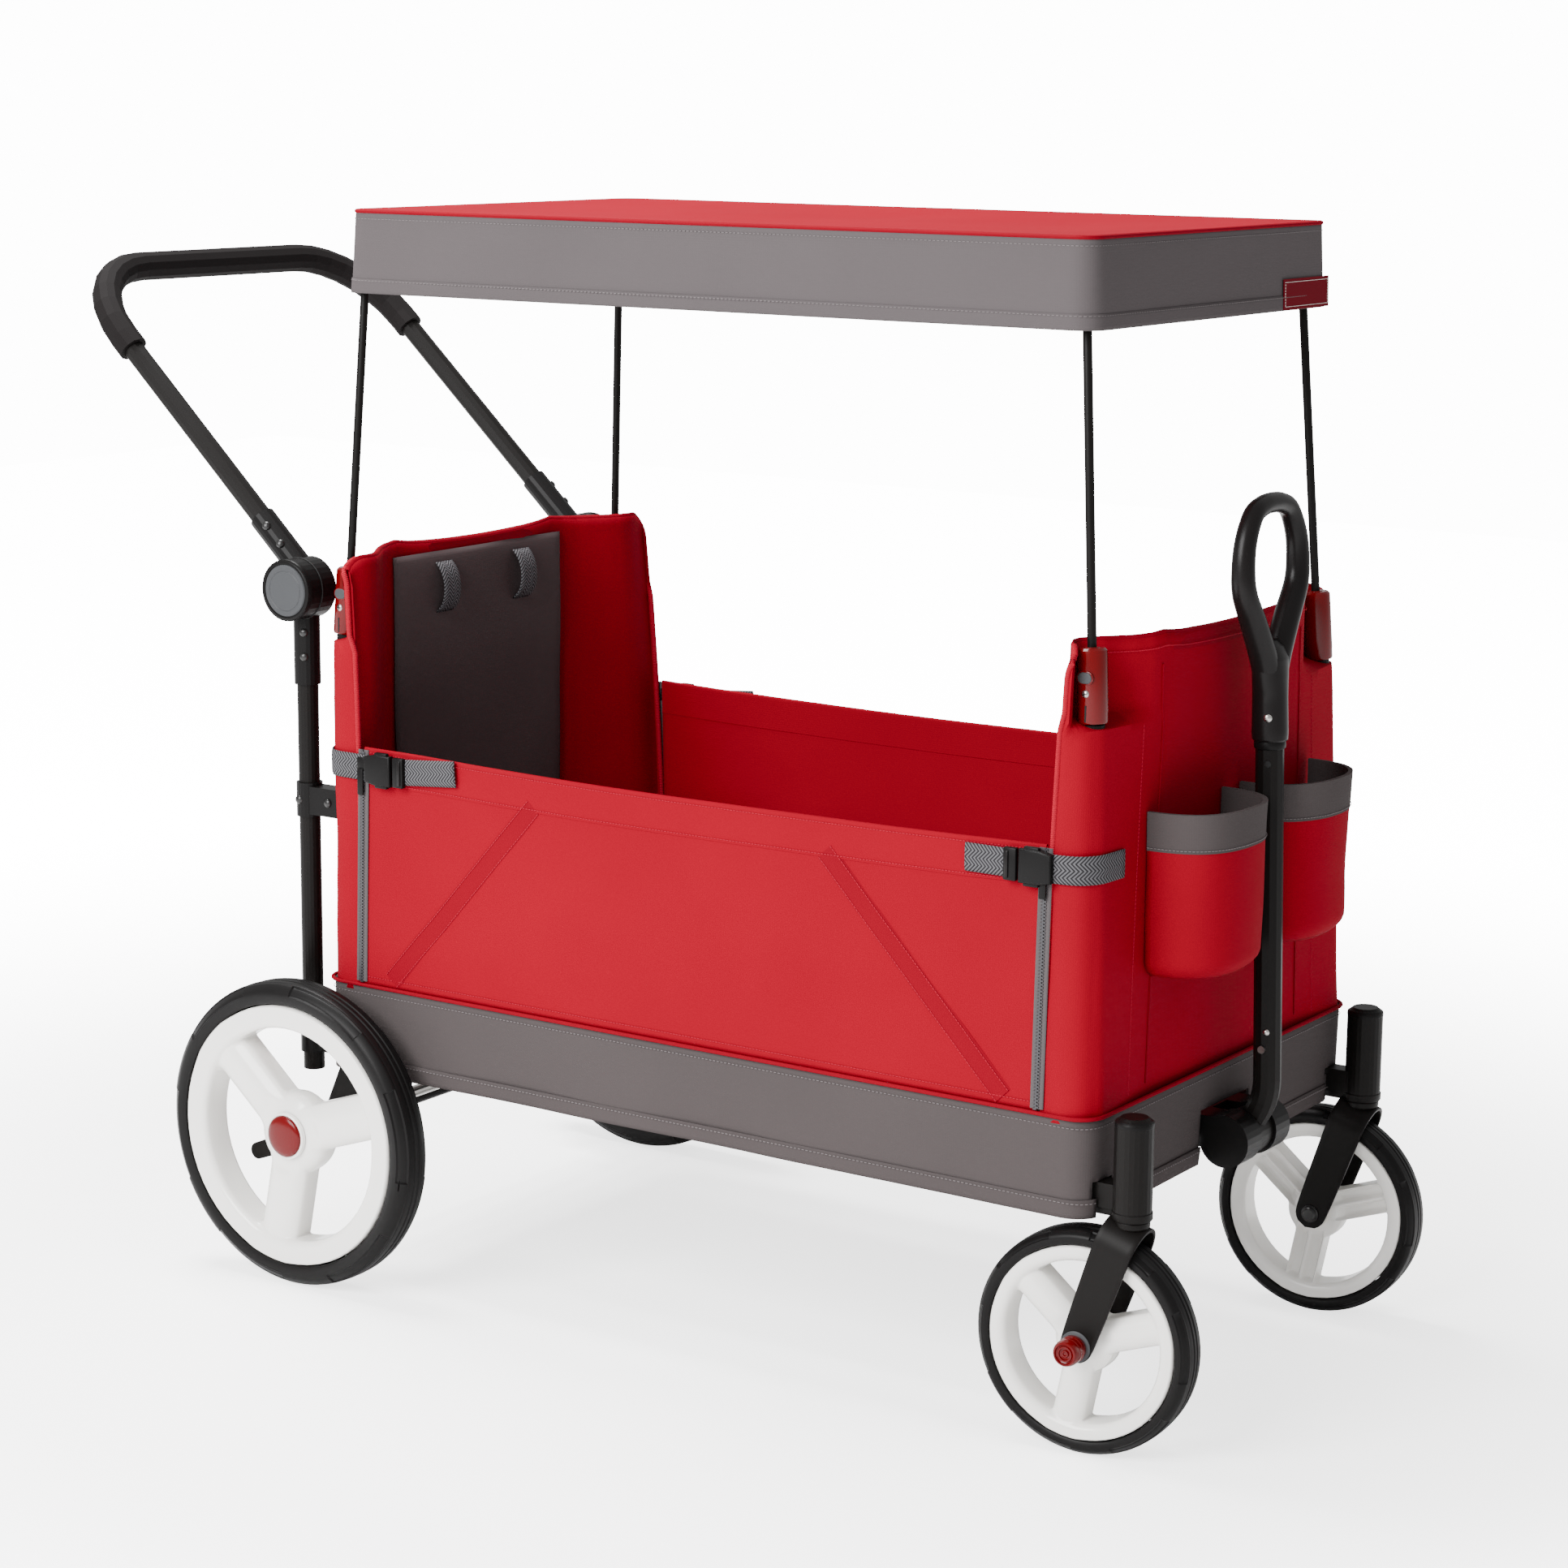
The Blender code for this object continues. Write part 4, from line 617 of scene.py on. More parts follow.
def forkShape(size, crown, axleZ):
    # strap bent over the wheel: u runs from one foot over the crown to the other, v across the strap
    leg = hypot(size["trail"], crown - axleZ)
    slope = atan2(size["trail"], crown - axleZ)
    mid = size["gap"] + size["wall"] / 2
    bend = leg - mid - size["wall"] / 2
    straight, arch = bend + size["foot"], pi * mid
    total = 2 * straight + arch

    def place(u, v):
        run = u * total
        if run < straight or run > total - straight:
            near = -1 if run < straight else 1
            up = -size["foot"] + (run if near < 0 else total - run)
            y = near * mid
        else:
            t = (run - straight) / mid
            y, up = -mid * cos(t), bend + mid * sin(t)
        widen = min(max(up / bend, 0), 1)
        half = size["foot"] + (size["top"] / 2 - size["foot"]) * widen ** 0.6
        if up < 0:
            half = sqrt(max(size["foot"] ** 2 - up ** 2, 0))
        x = (v - 0.5) * 2 * half
        return Vector((x * cos(slope) + up * sin(slope) - size["trail"], y,
                       up * cos(slope) - x * sin(slope) + axleZ))

    return gridShape(90, 8, place)


stem = {"inset": 0.017, "track": 0.228, "radius": 0.0172, "low": 0.2165, "high": 0.3030, "clear": 0.0003}


def casterPivot(sign):
    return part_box("front_frame")[1].x - stem["inset"], sign * stem["track"]


for side, sign in sides.items():
    pivotX, pivotY = casterPivot(sign)
    axle = middleOf(f"front_tyre_{side}")
    turned = Matrix.Rotation(casterSizes["turn"], 4, "Z")
    stand = Matrix.Translation((pivotX, pivotY, 0)) @ turned
    crown = stem["low"] - stem["clear"]
    body, wheelBody = f"caster_{side}", f"front_wheel_{side}"
    fork = piece(f"caster_fork_{side}_strap", shifted(forkShape(casterSizes, crown - 0.0018, axle.z), stand),
                 "powderCoat", body, [f"caster_fork_{side}"], angle=50)
    thickened(fork, casterSizes["wall"])
    addModifier(fork, "BEVEL", width=0.0007, segments=2, limit_method="ANGLE", angle_limit=radians(50))
    collar = [(0, 0.0), (0.0150, 0.0), (0.0158, -0.0012), (0.0158, -0.006), (0.013, -0.0085), (0, -0.0085)]
    piece(f"caster_collar_{side}", lathe(softened(collar, 0.001), (pivotX, pivotY, crown), 1, 40, "Z"),
          "powderCoat", body)

    local = Vector((-casterSizes["trail"], 0, axle.z))
    face = casterSizes["gap"] + casterSizes["wall"] + stem["clear"]
    k, h = casterSizes["knob"], casterSizes["knobLength"]
    # shares of the radius and the length: rings on the end, then two grooves round the side
    knob = [(k * a, h * b) for a, b in (
        (0, 0.86), (0.12, 0.86), (0.16, 0.90), (0.24, 0.90), (0.28, 0.85), (0.42, 0.87),
        (0.46, 0.93), (0.56, 0.94), (0.60, 0.90), (0.68, 0.92), (0.74, 0.985), (0.86, 0.97),
        (0.97, 0.86), (1, 0.70), (0.96, 0.66), (0.96, 0.62), (1, 0.58), (1, 0.46),
        (0.96, 0.42), (0.96, 0.38), (1, 0.34), (1, 0.14), (0.94, 0.06), (0.9, 0.0))]
    piece(f"axle_knob_{side}", shifted(lathe(knob, local + Vector((0, sign * (face + 0.0010), 0)), sign, 40),
          stand), "redPlastic", body, [f"front_axle_{side}"], angle=28)
    washer = [(0, 0.0011), (k * 1.10, 0.0011), (k * 1.18, 0.0004), (k * 1.18, -0.0002), (0, -0.0002)]
    piece(f"axle_washer_{side}", shifted(lathe(washer, local + Vector((0, sign * face, 0)), sign, 40), stand),
          "grayPlastic", body)
    b = casterSizes["bolt"]
    bolt = [(0, 0.0052), (b * 0.62, 0.0050), (b * 0.80, 0.0036), (b * 0.86, 0.0016), (b, 0.0012), (b, 0.0)]
    piece(f"axle_bolt_{side}", shifted(lathe(bolt, local - Vector((0, sign * face, 0)), -sign, 36), stand),
          "darkScrew", body)
    pin = rodShape(local - Vector((0, face, 0)), local + Vector((0, face, 0)), 0.0058, 24, 0.0003)
    piece(f"axle_sleeve_{side}", shifted(pin, stand), "zincSteel", body)

    wheel = piece(f"front_wheel_{side}_shell", wheelShape(wheelSizes["front"], axle, sign,
                  casterSizes["turn"]), "whitePlastic", wheelBody, [f"front_wheel_{side}"], angle=50)
    subdivided(wheel)
    # the hub's back ring takes the darker copy of the white plastic: painted shade
    ringHub = [(0.0062, 0.013), (0.0062, 0.0172), (0.0145, 0.0172), (0.0155, 0.0165), (0.0165, 0.004)]
    piece(f"front_wheel_{side}_hub_ring", shifted(lathe(softened(ringHub, 0.0008), (0, 0, 0), -sign, 40),
          Matrix.Translation(axle) @ turned), "paintedShadeWhitePlastic", wheelBody)
    piece(f"front_tyre_{side}_moulded", tyreShape(tyreSizes["front"], axle, sign, casterSizes["turn"]),
          "tyreRubber", wheelBody, [f"front_tyre_{side}"], angle=32)
print("casters made")


# frame details
for side, sign in sides.items():
    x, y = casterPivot(sign)
    r, top = stem["radius"], stem["high"]
    cap = [(0, 0.0036), (r * 0.5, 0.0032), (r * 0.82, 0.0022), (r * 0.97, 0.0004), (r, -0.0010), (r, -0.0036),
           (r * 0.975, -0.0041)]
    piece(f"stem_cap_{side}", lathe(cap, (x, y, top), 1, 40, "Z"), "blackPlastic", "front_frame")
    lip = [(r * 0.99, 0.0072), (r * 1.03, 0.0066), (r * 1.03, 0.0008), (r, 0.0)]
    piece(f"stem_lip_{side}", lathe(lip, (x, y, stem["low"]), 1, 40, "Z"), "powderCoat", "front_frame")
    under = softBox((0.034, 0.012, 0.0085), (x - 0.028, y - sign * 0.004, 0.2195), 0.0015)
    piece(f"stem_brace_{side}", under, "powderCoat", "front_frame")

pole = {"radius": 0.004, "short": 0.0005}

for end in ends:
    for side, sign in sides.items():
        low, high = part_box(f"canopy_pole_{end}_{side}")
        lean = -ends[end]
        xLow, xHigh = (high.x, low.x) if lean < 0 else (low.x, high.x)
        yLow, yHigh = (high.y, low.y) if sign > 0 else (low.y, high.y)
        start = Vector((xLow + lean * pole["radius"], yLow - sign * pole["radius"], low.z + pole["short"]))
        stop = Vector((xHigh - lean * pole["radius"], yHigh + sign * pole["radius"], high.z - pole["short"]))
        piece(f"canopy_pole_{end}_{side}_rod", rodShape(start, stop, pole["radius"], 20, 0.0006),
              "powderCoat", f"canopy_pole_{end}_{side}", [f"canopy_pole_{end}_{side}"])


# pole sockets
socket = {"radius": 0.0134, "length": 0.0640, "buttonDrop": 0.024, "buttonWidth": 0.0138,
          "buttonHeight": 0.0098,
          "rim": 0.0022, "screwDrop": 0.0375, "screw": 0.0036, "slit": (0.0018, 0.0012, 0.0145),
          "slitDrop": 0.0545}
poleLean = {"front": Vector((-0.068, -0.041, 1)), "rear": Vector((0.052, -0.041, 1))}
socketTop = {"front": (0.4047, 0.2131, 0.7035), "rear": (-0.4167, 0.2131, 0.7035)}

for end in ends:
    for side, sign in sides.items():
        x, y, z = socketTop[end]
        top = spot(x, sign * y, z)
        lean = Vector((poleLean[end].x, sign * poleLean[end].y, 1))
        axis = lean.normalized()
        body = f"{end}_frame"
        r, length = socket["radius"], socket["length"]
        shellLine = [(0.0043, 0.0), (r - 0.0022, 0.0), (r - 0.0002, -0.0020), (r, -0.0045),
                     (r, -length + 0.010),
                     (r * 0.985, -length + 0.0095), (r * 0.985, -length + 0.0015), (r * 0.93, -length),
                     (0.0105, -length)]
        turn = facing(top, axis)
        shell = shifted(lathe(shellLine, (0, 0, 0), 1, 48, "Z"), turn)
        piece(f"pole_socket_{end}_{side}_shell", shell, "redPlastic", body, [f"pole_socket_{end}_{side}"],
              angle=35)
        collarLine = [(0.0041, 0.0006), (0.0062, 0.0006), (0.0068, -0.0002), (0.0068, -0.001)]
        piece(f"pole_collar_{end}_{side}", shifted(lathe(collarLine, (0, 0, 0), 1, 32, "Z"), turn),
              "redPlastic", body)
        away = Vector((0, sign, 0))

        def down(drop, out):
            point = top - lean * drop
            return Vector((point.x, point.y + sign * (r + out), point.z))

        rimOutline = pillOutline(socket["buttonWidth"] + socket["rim"],
                                 socket["buttonHeight"] + socket["rim"])
        rim = plateShape(rimOutline, 0.0030, facing(down(socket["buttonDrop"], -0.0028), away), 0.0004, 2)
        piece(f"socket_rim_{end}_{side}", rim, "redPlastic", body)
        buttonLine = pillOutline(socket["buttonWidth"], socket["buttonHeight"])
        button = plateShape(buttonLine, 0.0048, facing(down(socket["buttonDrop"], -0.0037), away), 0.0011, 4)
        piece(f"socket_button_{end}_{side}_key", button, "grayPlastic", f"socket_button_{end}_{side}",
              [f"socket_button_{end}_{side}"], angle=50)
        at = down(socket["screwDrop"], -0.0006)
        piece(f"socket_screw_{end}_{side}", screwHead(at, away, socket["screw"]), "zincSteel", body)
        # the screw's cross is dark: painted shade in its slot
        piece(f"socket_screw_{end}_{side}_cross", crossSlot(at, away, socket["screw"]), "paintedRecessShade", body)
        # a dark box in the socket's slit: painted shade inside the slit
        slit = softBox(socket["slit"], down(socket["slitDrop"], -0.0004), 0.0004)
        piece(f"socket_slit_{end}_{side}", slit, "paintedRecessShade", body)
print("frames and sockets made")


# cloth: shared sizes and tools
cloth = {"half": 0.2525, "lean": 0.0075, "seam": 0.302, "sideTop": 0.536, "fold": 0.147, "wingTop": 0.637}
panelSizes = {
    "front": {"face": 0.431, "zip": 0.385, "top": 0.708, "lean": 0.008, "foot": 0.420},
    "rear": {"face": 0.440, "zip": 0.377, "top": 0.717, "lean": 0.018, "foot": 0.408},
}


def sideY(z):
    return cloth["half"] - cloth["lean"] * (z - cloth["seam"]) / (cloth["sideTop"] - cloth["seam"])


def wrinkle(point, scale, depth):
    return noise.noise(Vector(point) * scale) * depth


def ropeShape(line, radius, around=10):
    # a round cord along a line with UVs in metres, open at its ends
    total = lineLength(line)
    steps = max(int(total / (radius * 1.6)), 6)

    def place(u, v):
        point, ahead = atShare(line, u)
        across = Vector((0.13, 0.21, 1)) if abs(ahead.z) < 0.9 else Vector((1, 0.2, 0))
        side = ahead.cross(across).normalized()
        return point + (side * cos(2 * pi * v) + ahead.cross(side) * sin(2 * pi * v)) * radius

    return gridShape(steps, around, place, (total, 2 * pi * radius))


def bandShape(line, normal, width, lift):
    # a flat tape centred on a line; normal(point) looks out of the cloth it is sewn to
    total, bulge = lineLength(line), 0.0004
    steps = max(int(total / 0.006), 8)

    def place(u, v):
        point, ahead = atShare(line, u)
        out = Vector(normal(point)).normalized()
        side = ahead.cross(out).normalized()
        edge = abs(2 * v - 1)
        height = lift + bulge * (1 - edge ** 4) - (0.0006 if edge > 0.99 else 0)
        return point + side * (v - 0.5) * width + out * height

    return gridShape(steps, 8, place, (total, width))


def squashed(items):
    for item in items:
        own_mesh(item)


# end panels
def postX(end, z):
    # how far from the middle the corner post is at a height
    x, y, top = socketTop[end]
    return abs(x) + abs(poleLean[end].x) * (top - z) * ends[end]


def panelPath(end, z, inner):
    # half of the panel's outline at a height, from the middle to the hem, in the end's own sign
    size = panelSizes[end]
    share = min(max((z - cloth["seam"]) / (size["top"] - cloth["seam"]), 0), 1)
    edge = sideY(z)
    post = size["foot"] + (postX(end, size["top"]) - size["foot"]) * share
    hem = size["zip"] + size["lean"] * share ** 2
    if inner:
        return [(size["face"] - 0.0085, 0), (size["face"] - 0.0085, cloth["fold"]),
                (post - 0.0205, edge - 0.040),
                (hem + 0.005, edge - 0.0055), (hem + 0.001, edge - 0.0030)]
    corner = post + 0.0135
    return [(size["face"] - 0.0017, 0), (size["face"] - 0.0017, cloth["fold"]),
            (corner + 0.0008, edge - 0.030),
            (corner - 0.0022, edge - 0.0180), (corner - 0.0108, edge - 0.0060),
            (corner - 0.026, edge - 0.0008),
            (hem + 0.001, edge - 0.0017)]


def panelPoint(end, side, z, share, inner):
    # above the sleeves, the outer sheet passes inside the sockets, close to the lining
    rise = 0 if inner else min(max((z - cloth["wingTop"] + 0.001) / 0.006, 0), 1)
    point = atShare(softPath(end, z, inner), share)[0]
    if rise:
        behind = atShare(softPath(end, z, True), share)[0]
        slant = Vector((0.0042, 0.0030, 0)) if share > 0.45 else Vector((0.0068, 0, 0))
        point = point.lerp(behind + slant, rise * rise * (3 - 2 * rise) if share > 0.45 else 0)
    return spot(ends[end] * point.x, side * point.y, z)


def softPath(end, z, inner):
    line = [Vector((x, y, 0)) for x, y in panelPath(end, z, inner)]
    return smoothLine([line[0], line[0].lerp(line[1], 0.5), line[1].lerp(line[0], 0.04)] + line[2:], 4)


def panelTop(end, share):
    # height of the panel's upper edge, with slight peaks at the folds and a round corner at the hem
    y = share * 0.30
    peak = 0.0022 * max(1 - abs(y - cloth["fold"]) / 0.050, 0) ** 2
    sag = -0.004 * cos(pi * min(y / cloth["fold"], 1) / 2)
    late = max(share - 0.90, 0) / 0.10
    return panelSizes[end]["top"] + sag + peak - 0.002 - 0.026 * (1 - sqrt(max(1 - late * late, 0)))


panelFlat = (0.62, 0.41)


def panelSheet(end, inner):
    def place(u, v):
        side, share = (1, 2 * u - 1) if u >= 0.5 else (-1, 1 - 2 * u)
        low = cloth["seam"] - 0.006
        z = low + (panelTop(end, share) - low) * v
        point = panelPoint(end, side, z, share, inner)
        away = Vector((ends[end], 0, 0)) if share < 0.5 else Vector((0, side, 0))
        calm = sin(pi * min(v * 1.02, 1)) ** 0.5
        puff = wrinkle(point, 9, 0.0032) + wrinkle(point + Vector((0, 0, 4)), 26, 0.0010)
        return point + away * puff * calm

    return gridShape(120, 46, place, panelFlat)


for end, out in ends.items():
    body, seam = f"{end}_frame", cloth["seam"]
    top = panelSizes[end]["top"]
    outer = clothPiece(f"{end}_panel_outer", panelSheet(end, False), "redCloth", body, 0.0018,
                       [f"{end}_panel"])
    inner = clothPiece(f"{end}_panel_lining", panelSheet(end, True), "redLining", body, 0.0018)
    extras = []

    for side, sign in sides.items():
        # ribbed piping up the hem and in behind the socket
        hemLine = [panelPoint(end, sign, z, 1.0, False) for z in spread(seam + 0.004, top - 0.026, 24)]
        hemLine += [panelPoint(end, sign, panelTop(end, s), s, False) for s in spread(0.995, 0.920, 8)]
        extras.append(piece(f"{end}_piping_{side}", ropeShape(hemLine, 0.0027), "binding", body))
        # seam over the sleeve's outer corner
        away = Vector((out, sign * 0.8, 0))
        corner = [panelPoint(end, sign, z, 0.62, False) + away.normalized() * 0.0013
                  for z in spread(seam + 0.006, seam + 0.331, 16)]
        extras.append(piece(f"{end}_corner_seam_{side}", stitchShape(corner, lambda p: away), "redThread",
                            body))

    # binding over the top edge, from wing to wing
    def overTop(u, v, end=end, out=out):
        share = abs(2 * u - 1) * 0.985
        side = 1 if u >= 0.5 else -1
        z = panelTop(end, share) + 0.001
        a = panelPoint(end, side, z - 0.002, share, False)
        b = panelPoint(end, side, z - 0.002, share, True)
        mid, reach = (a + b) / 2, (a - b) / 2 * 1.28
        t = (v - 0.5) * 2
        if abs(t) > 0.55:
            down = (abs(t) - 0.55) / 0.45 * 0.0135
            return mid + reach * (1 if t < 0 else -1) + Vector((0, 0, -down))
        angle = t / 0.55 * pi / 2
        return mid - reach * sin(angle) + Vector((0, 0, cos(angle) * 0.0042))

    extras.append(piece(f"{end}_panel_binding", gridShape(180, 20, overTop, (0.62, 0.045)), "hemBinding",
                        body, angle=70))
    edgeLine = []
    for u in spread(-1, 1, 100):
        share = abs(u) * 0.93
        edgeLine.append(panelPoint(end, 1 if u >= 0 else -1, panelTop(end, share) - 0.0105, share, False)
                        + Vector((out * 0.0028, 0, 0)))
    extras.append(piece(f"{end}_binding_stitches", stitchShape(edgeLine, lambda p: (out, 0, 0)), "redThread",
                        body))
    for side, sign in sides.items():
        # upright seam along the fold
        fold = [panelPoint(end, sign, z, 0.505, False) + Vector((out * 0.0012, 0, 0))
                for z in spread(seam + 0.01, top - 0.026, 20)]
        extras.append(piece(f"{end}_fold_seam_{side}", ropeShape(fold, 0.0011, 6), "hemBinding", body))
print("end panels made")


# rear back pad and its loops
pad = {"half": 0.134, "low": 0.330, "high": 0.7035, "rise": 0.004, "flat": (0.268, 0.3735)}


def padPlace(u, v):
    y = (2 * u - 1) * pad["half"]
    z = pad["low"] + (pad["high"] - pad["low"]) * v
    edge = min(1 - abs(2 * u - 1), 1 - abs(2 * v - 1))
    puff = pad["rise"] * min(edge / 0.09, 1) ** 0.5
    point = spot(-panelSizes["rear"]["face"] + 0.0098 + puff, y, z)
    return point + Vector((wrinkle(point, 12, 0.0022), 0, 0))


backPad = piece("rear_back_pad", gridShape(50, 70, padPlace, pad["flat"]), "padCloth", "rear_frame", angle=60)
thickened(backPad, 0.0016)
for side, sign in sides.items():
    y = sign * 0.062
    loopPoints = [spot(x, y, z) for x, z in (
        (-0.4255, 0.693), (-0.418, 0.684), (-0.414, 0.668), (-0.417, 0.652), (-0.4255, 0.643))]
    loopBand = bandShape(smoothLine(loopPoints, 6), lambda p: (1, 0, 0.05), 0.025, 0.001)
    strap = piece(f"rear_loop_{side}", loopBand, "webbing", "rear_frame", angle=60)
    thickened(strap, 0.0016)
print("back pad made")


# side panels
sidePanel = {"rear": -0.3755, "front": 0.3835, "tall": 0.234, "hem": 0.034, "sag": 0.005, "band": 0.021,
             "tape": 0.0062, "teeth": 76, "pitch": 0.003}
sideWidth = sidePanel["front"] - sidePanel["rear"]
bandLines = {"rear": ((-0.168, 0.502), (-0.338, 0.311)), "front": ((0.158, 0.502), (0.349, 0.311))}
straps = {"rear": -0.346, "front": 0.371}
strapSize = {"width": 0.025, "z": 0.517, "rear": 0.070, "front": 0.050}


def sidePoint(sign, x, z, lift=0.0):
    puff = wrinkle((x, z, sign), 5, 0.0035) + wrinkle((x, z, sign + 5), 15, 0.0012)
    calm = min(1, (z - cloth["seam"]) / 0.05, (x - sidePanel["rear"]) / 0.05, (sidePanel["front"] - x) / 0.05)
    y = sideY(z) - 0.0018 + lift + puff * max(calm, 0)
    return spot(x, sign * y, z)


def sideTopAt(x):
    share = (x - sidePanel["rear"]) / sideWidth
    return cloth["sideTop"] - 0.001 - sidePanel["sag"] * sin(pi * share)


for side, sign in sides.items():
    body, foot = f"side_panel_{side}", cloth["seam"] + 0.004

    def sheetPlace(u, v, sign=sign):
        x = sidePanel["rear"] + sideWidth * u
        return sidePoint(sign, x, cloth["seam"] + 0.001 + (sideTopAt(x) - cloth["seam"] - 0.001) * v)

    sheet = gridShape(150, 48, sheetPlace, (sideWidth, sidePanel["tall"]))
    panel = baked(clothPiece(f"side_panel_{side}_cloth", sheet, "redCloth", body, 0.0020, [body]))
    extras = []
    outward = lambda p, sign=sign: (0, sign, 0.03)

    def hemPlace(u, v, sign=sign):
        # folded hem, over the top edge and 34 mm down both faces
        x = sidePanel["rear"] + 0.0005 + (sideWidth - 0.001) * u
        top = sideTopAt(x)
        t = 2 * v - 1
        if abs(t) > 0.12:
            z = top - (abs(t) - 0.12) / 0.88 * sidePanel["hem"]
            return sidePoint(sign, x, z, 0.0018 if t < 0 else -0.0018)
        angle = t / 0.12 * pi / 2
        return sidePoint(sign, x, top + 0.0014 * cos(angle), -0.0018 * sin(angle))

    extras.append(piece(f"side_hem_{side}", gridShape(150, 28, hemPlace, (sideWidth, 0.072)), "redCloth",
                        body, angle=60))
    stitchXs = spread(sidePanel["rear"] + 0.004, sidePanel["front"] - 0.004, 60)
    for k, drop in enumerate((0.0315, 0.0035)):
        line = [sidePoint(sign, x, sideTopAt(x) - drop, 0.0023) for x in stitchXs]
        extras.append(piece(f"side_hem_stitches_{k}_{side}", stitchShape(line, outward), "redThread", body))
    line = [sidePoint(sign, x, cloth["seam"] + 0.009, 0.0016) for x in stitchXs]
    extras.append(piece(f"side_foot_stitches_{side}", stitchShape(line, outward), "redThread", body))
    for end, ((xTop, zTop), (xLow, zLow)) in bandLines.items():
        run = [sidePoint(sign, x, z) for x, z in zip(spread(xTop, xLow, 30), spread(zTop, zLow, 30))]
        band = bandShape(run, outward, sidePanel["band"], 0.0015)
        extras.append(piece(f"side_band_{end}_{side}", band, "hemBinding", body, angle=60))
        for k, offset in enumerate((-1, 1)):
            ahead = (run[-1] - run[0]).normalized()
            toEdge = sidePanel["band"] / 2 - 0.0022
            across = ahead.cross(Vector((0, sign, 0))).normalized() * offset * toEdge
            line = [p + across + Vector((0, sign * 0.0021, 0)) for p in run]
            extras.append(piece(f"side_band_stitches_{end}_{k}_{side}", stitchShape(line, outward),
                                "redThread", body))
    squashed([panel] + extras)

    # zips: one tape and its teeth on the panel, the other on the end panel
    for end, out in ends.items():
        x = sidePanel[end]
        for part, direction, zipBody in (("inner", -out, body), ("outer", out, f"{end}_frame")):
            run = [spot(x + direction * (sidePanel["tape"] / 2 + 0.0004), sign * (sideY(z) + 0.0008), z)
                   for z in spread(foot, foot + 0.228, 24)]
            tape = piece(f"zip_tape_{part}_{end}_{side}", bandShape(run, outward, sidePanel["tape"], 0.0002),
                         "canopyCloth", zipBody, angle=60)
            teeth = bmesh.new()
            tooth = Matrix.Diagonal((0.0034, 0.0022, 0.0016, 1))
            for i in range(sidePanel["teeth"]):
                z = foot + sidePanel["pitch"] * (i + (0.5 if part == "outer" else 0))
                at = spot(x + direction * 0.0010, sign * (sideY(z) + 0.0012), z)
                bmesh.ops.create_cube(teeth, size=1, matrix=Matrix.Translation(at) @ tooth)
            row = piece(f"zip_teeth_{part}_{end}_{side}", teeth, "zipTeeth", zipBody)
            if zipBody == body:
                squashed([tape, row])
        slider = softBox((0.010, 0.0045, 0.014), spot(x, sign * (sideY(0.520) + 0.0025), 0.520), 0.0012)
        piece(f"zip_slider_{end}_{side}", slider, "blackPlastic", f"{end}_frame")
        pullTab = softBox((0.007, 0.0016, 0.026), spot(x, sign * (sideY(0.505) + 0.0052), 0.503), 0.0007)
        piece(f"zip_pull_{end}_{side}", pullTab, "blackPlastic", f"{end}_frame")

        # strap and side-release buckle over the zip; the fixed end follows the padded corner
        z, mid = strapSize["z"], straps[end]
        y = sign * (sideY(z) + 0.0010)
        lifted = y + sign * 0.0012
        rise = 0.006 if end == "rear" else 0.0
        loose = [spot(mid - out * reach, lifted, height) for reach, height in
                 zip(spread(0.016, 0.016 + strapSize[end], 8), spread(z, z + rise, 8))]
        near = spot(mid + out * 0.016, lifted, z)
        wrap = [panelPoint(end, sign, z, s, False) + Vector((out * 0.0016, sign * 0.0022, 0))
                for s in spread(0.97, 0.70, 12)]
        fixed = evenly([near] + [p for p in wrap if out * (p.x - near.x) > 0.004], 22)
        for part, run, strapBody in (("fixed", fixed, f"{end}_frame"), ("loose", loose, body)):
            def outOf(p, sign=sign, out=out, turnX=spot(out * 0.400, 0, 0).x):
                # along the side it looks out sideways, past the corner more and more to the end
                return Vector((out * max(out * (p.x - turnX), 0) * 40, sign, 0))

            strap = piece(f"strap_{part}_{end}_{side}", bandShape(run, outOf, strapSize["width"], 0.0010),
                          "webbing", strapBody, angle=60)
            thickened(strap, 0.0012)
            baked(strap)
            if strapBody == body:
                squashed([strap])
            lineLength(run)
        half = [(-0.016, -0.0150), (0.004, -0.0150), (0.016, -0.0125)]
        shell = [(-a * out * sign, b) for a, b in half + [(a, -b) for a, b in reversed(half)]]
        female = plateShape(shell, 0.0075, facing(spot(mid + out * 0.006, lifted, z), (0, sign, 0)), 0.0018,
                            3)
        holder = f"{end}_frame" if out > 0 else body
        parts = [piece(f"buckle_shell_{end}_{side}", female, "blackPlastic", holder)]
        male = softBox((0.013, 0.0060, 0.029), spot(mid - out * 0.019, y + sign * 0.0046, z), 0.0015)
        parts.append(piece(f"buckle_key_{end}_{side}", male, "blackPlastic", holder))
        for k in (-1, 1):
            prong = softBox((0.015, 0.0052, 0.0048), spot(mid + out * 0.002, y + sign * 0.0050,
                                                          z + k * 0.0150), 0.0012)
            parts.append(piece(f"buckle_prong_{k + 1}_{end}_{side}", prong, "blackPlastic", holder))
        pin = softBox((0.0035, 0.0025, 0.024), spot(mid - out * 0.0215, y + sign * 0.0078, z), 0.0008)
        parts.append(piece(f"buckle_bar_{end}_{side}", pin, "softBlack", holder))
        if holder == body:
            squashed(parts)
print("side panels made")


# skirt
skirt = {"front": 0.436, "rear": -0.424, "half": 0.2525, "low": 0.2135, "high": 0.3018, "seam": 0.3022,
         "corner": 0.024}


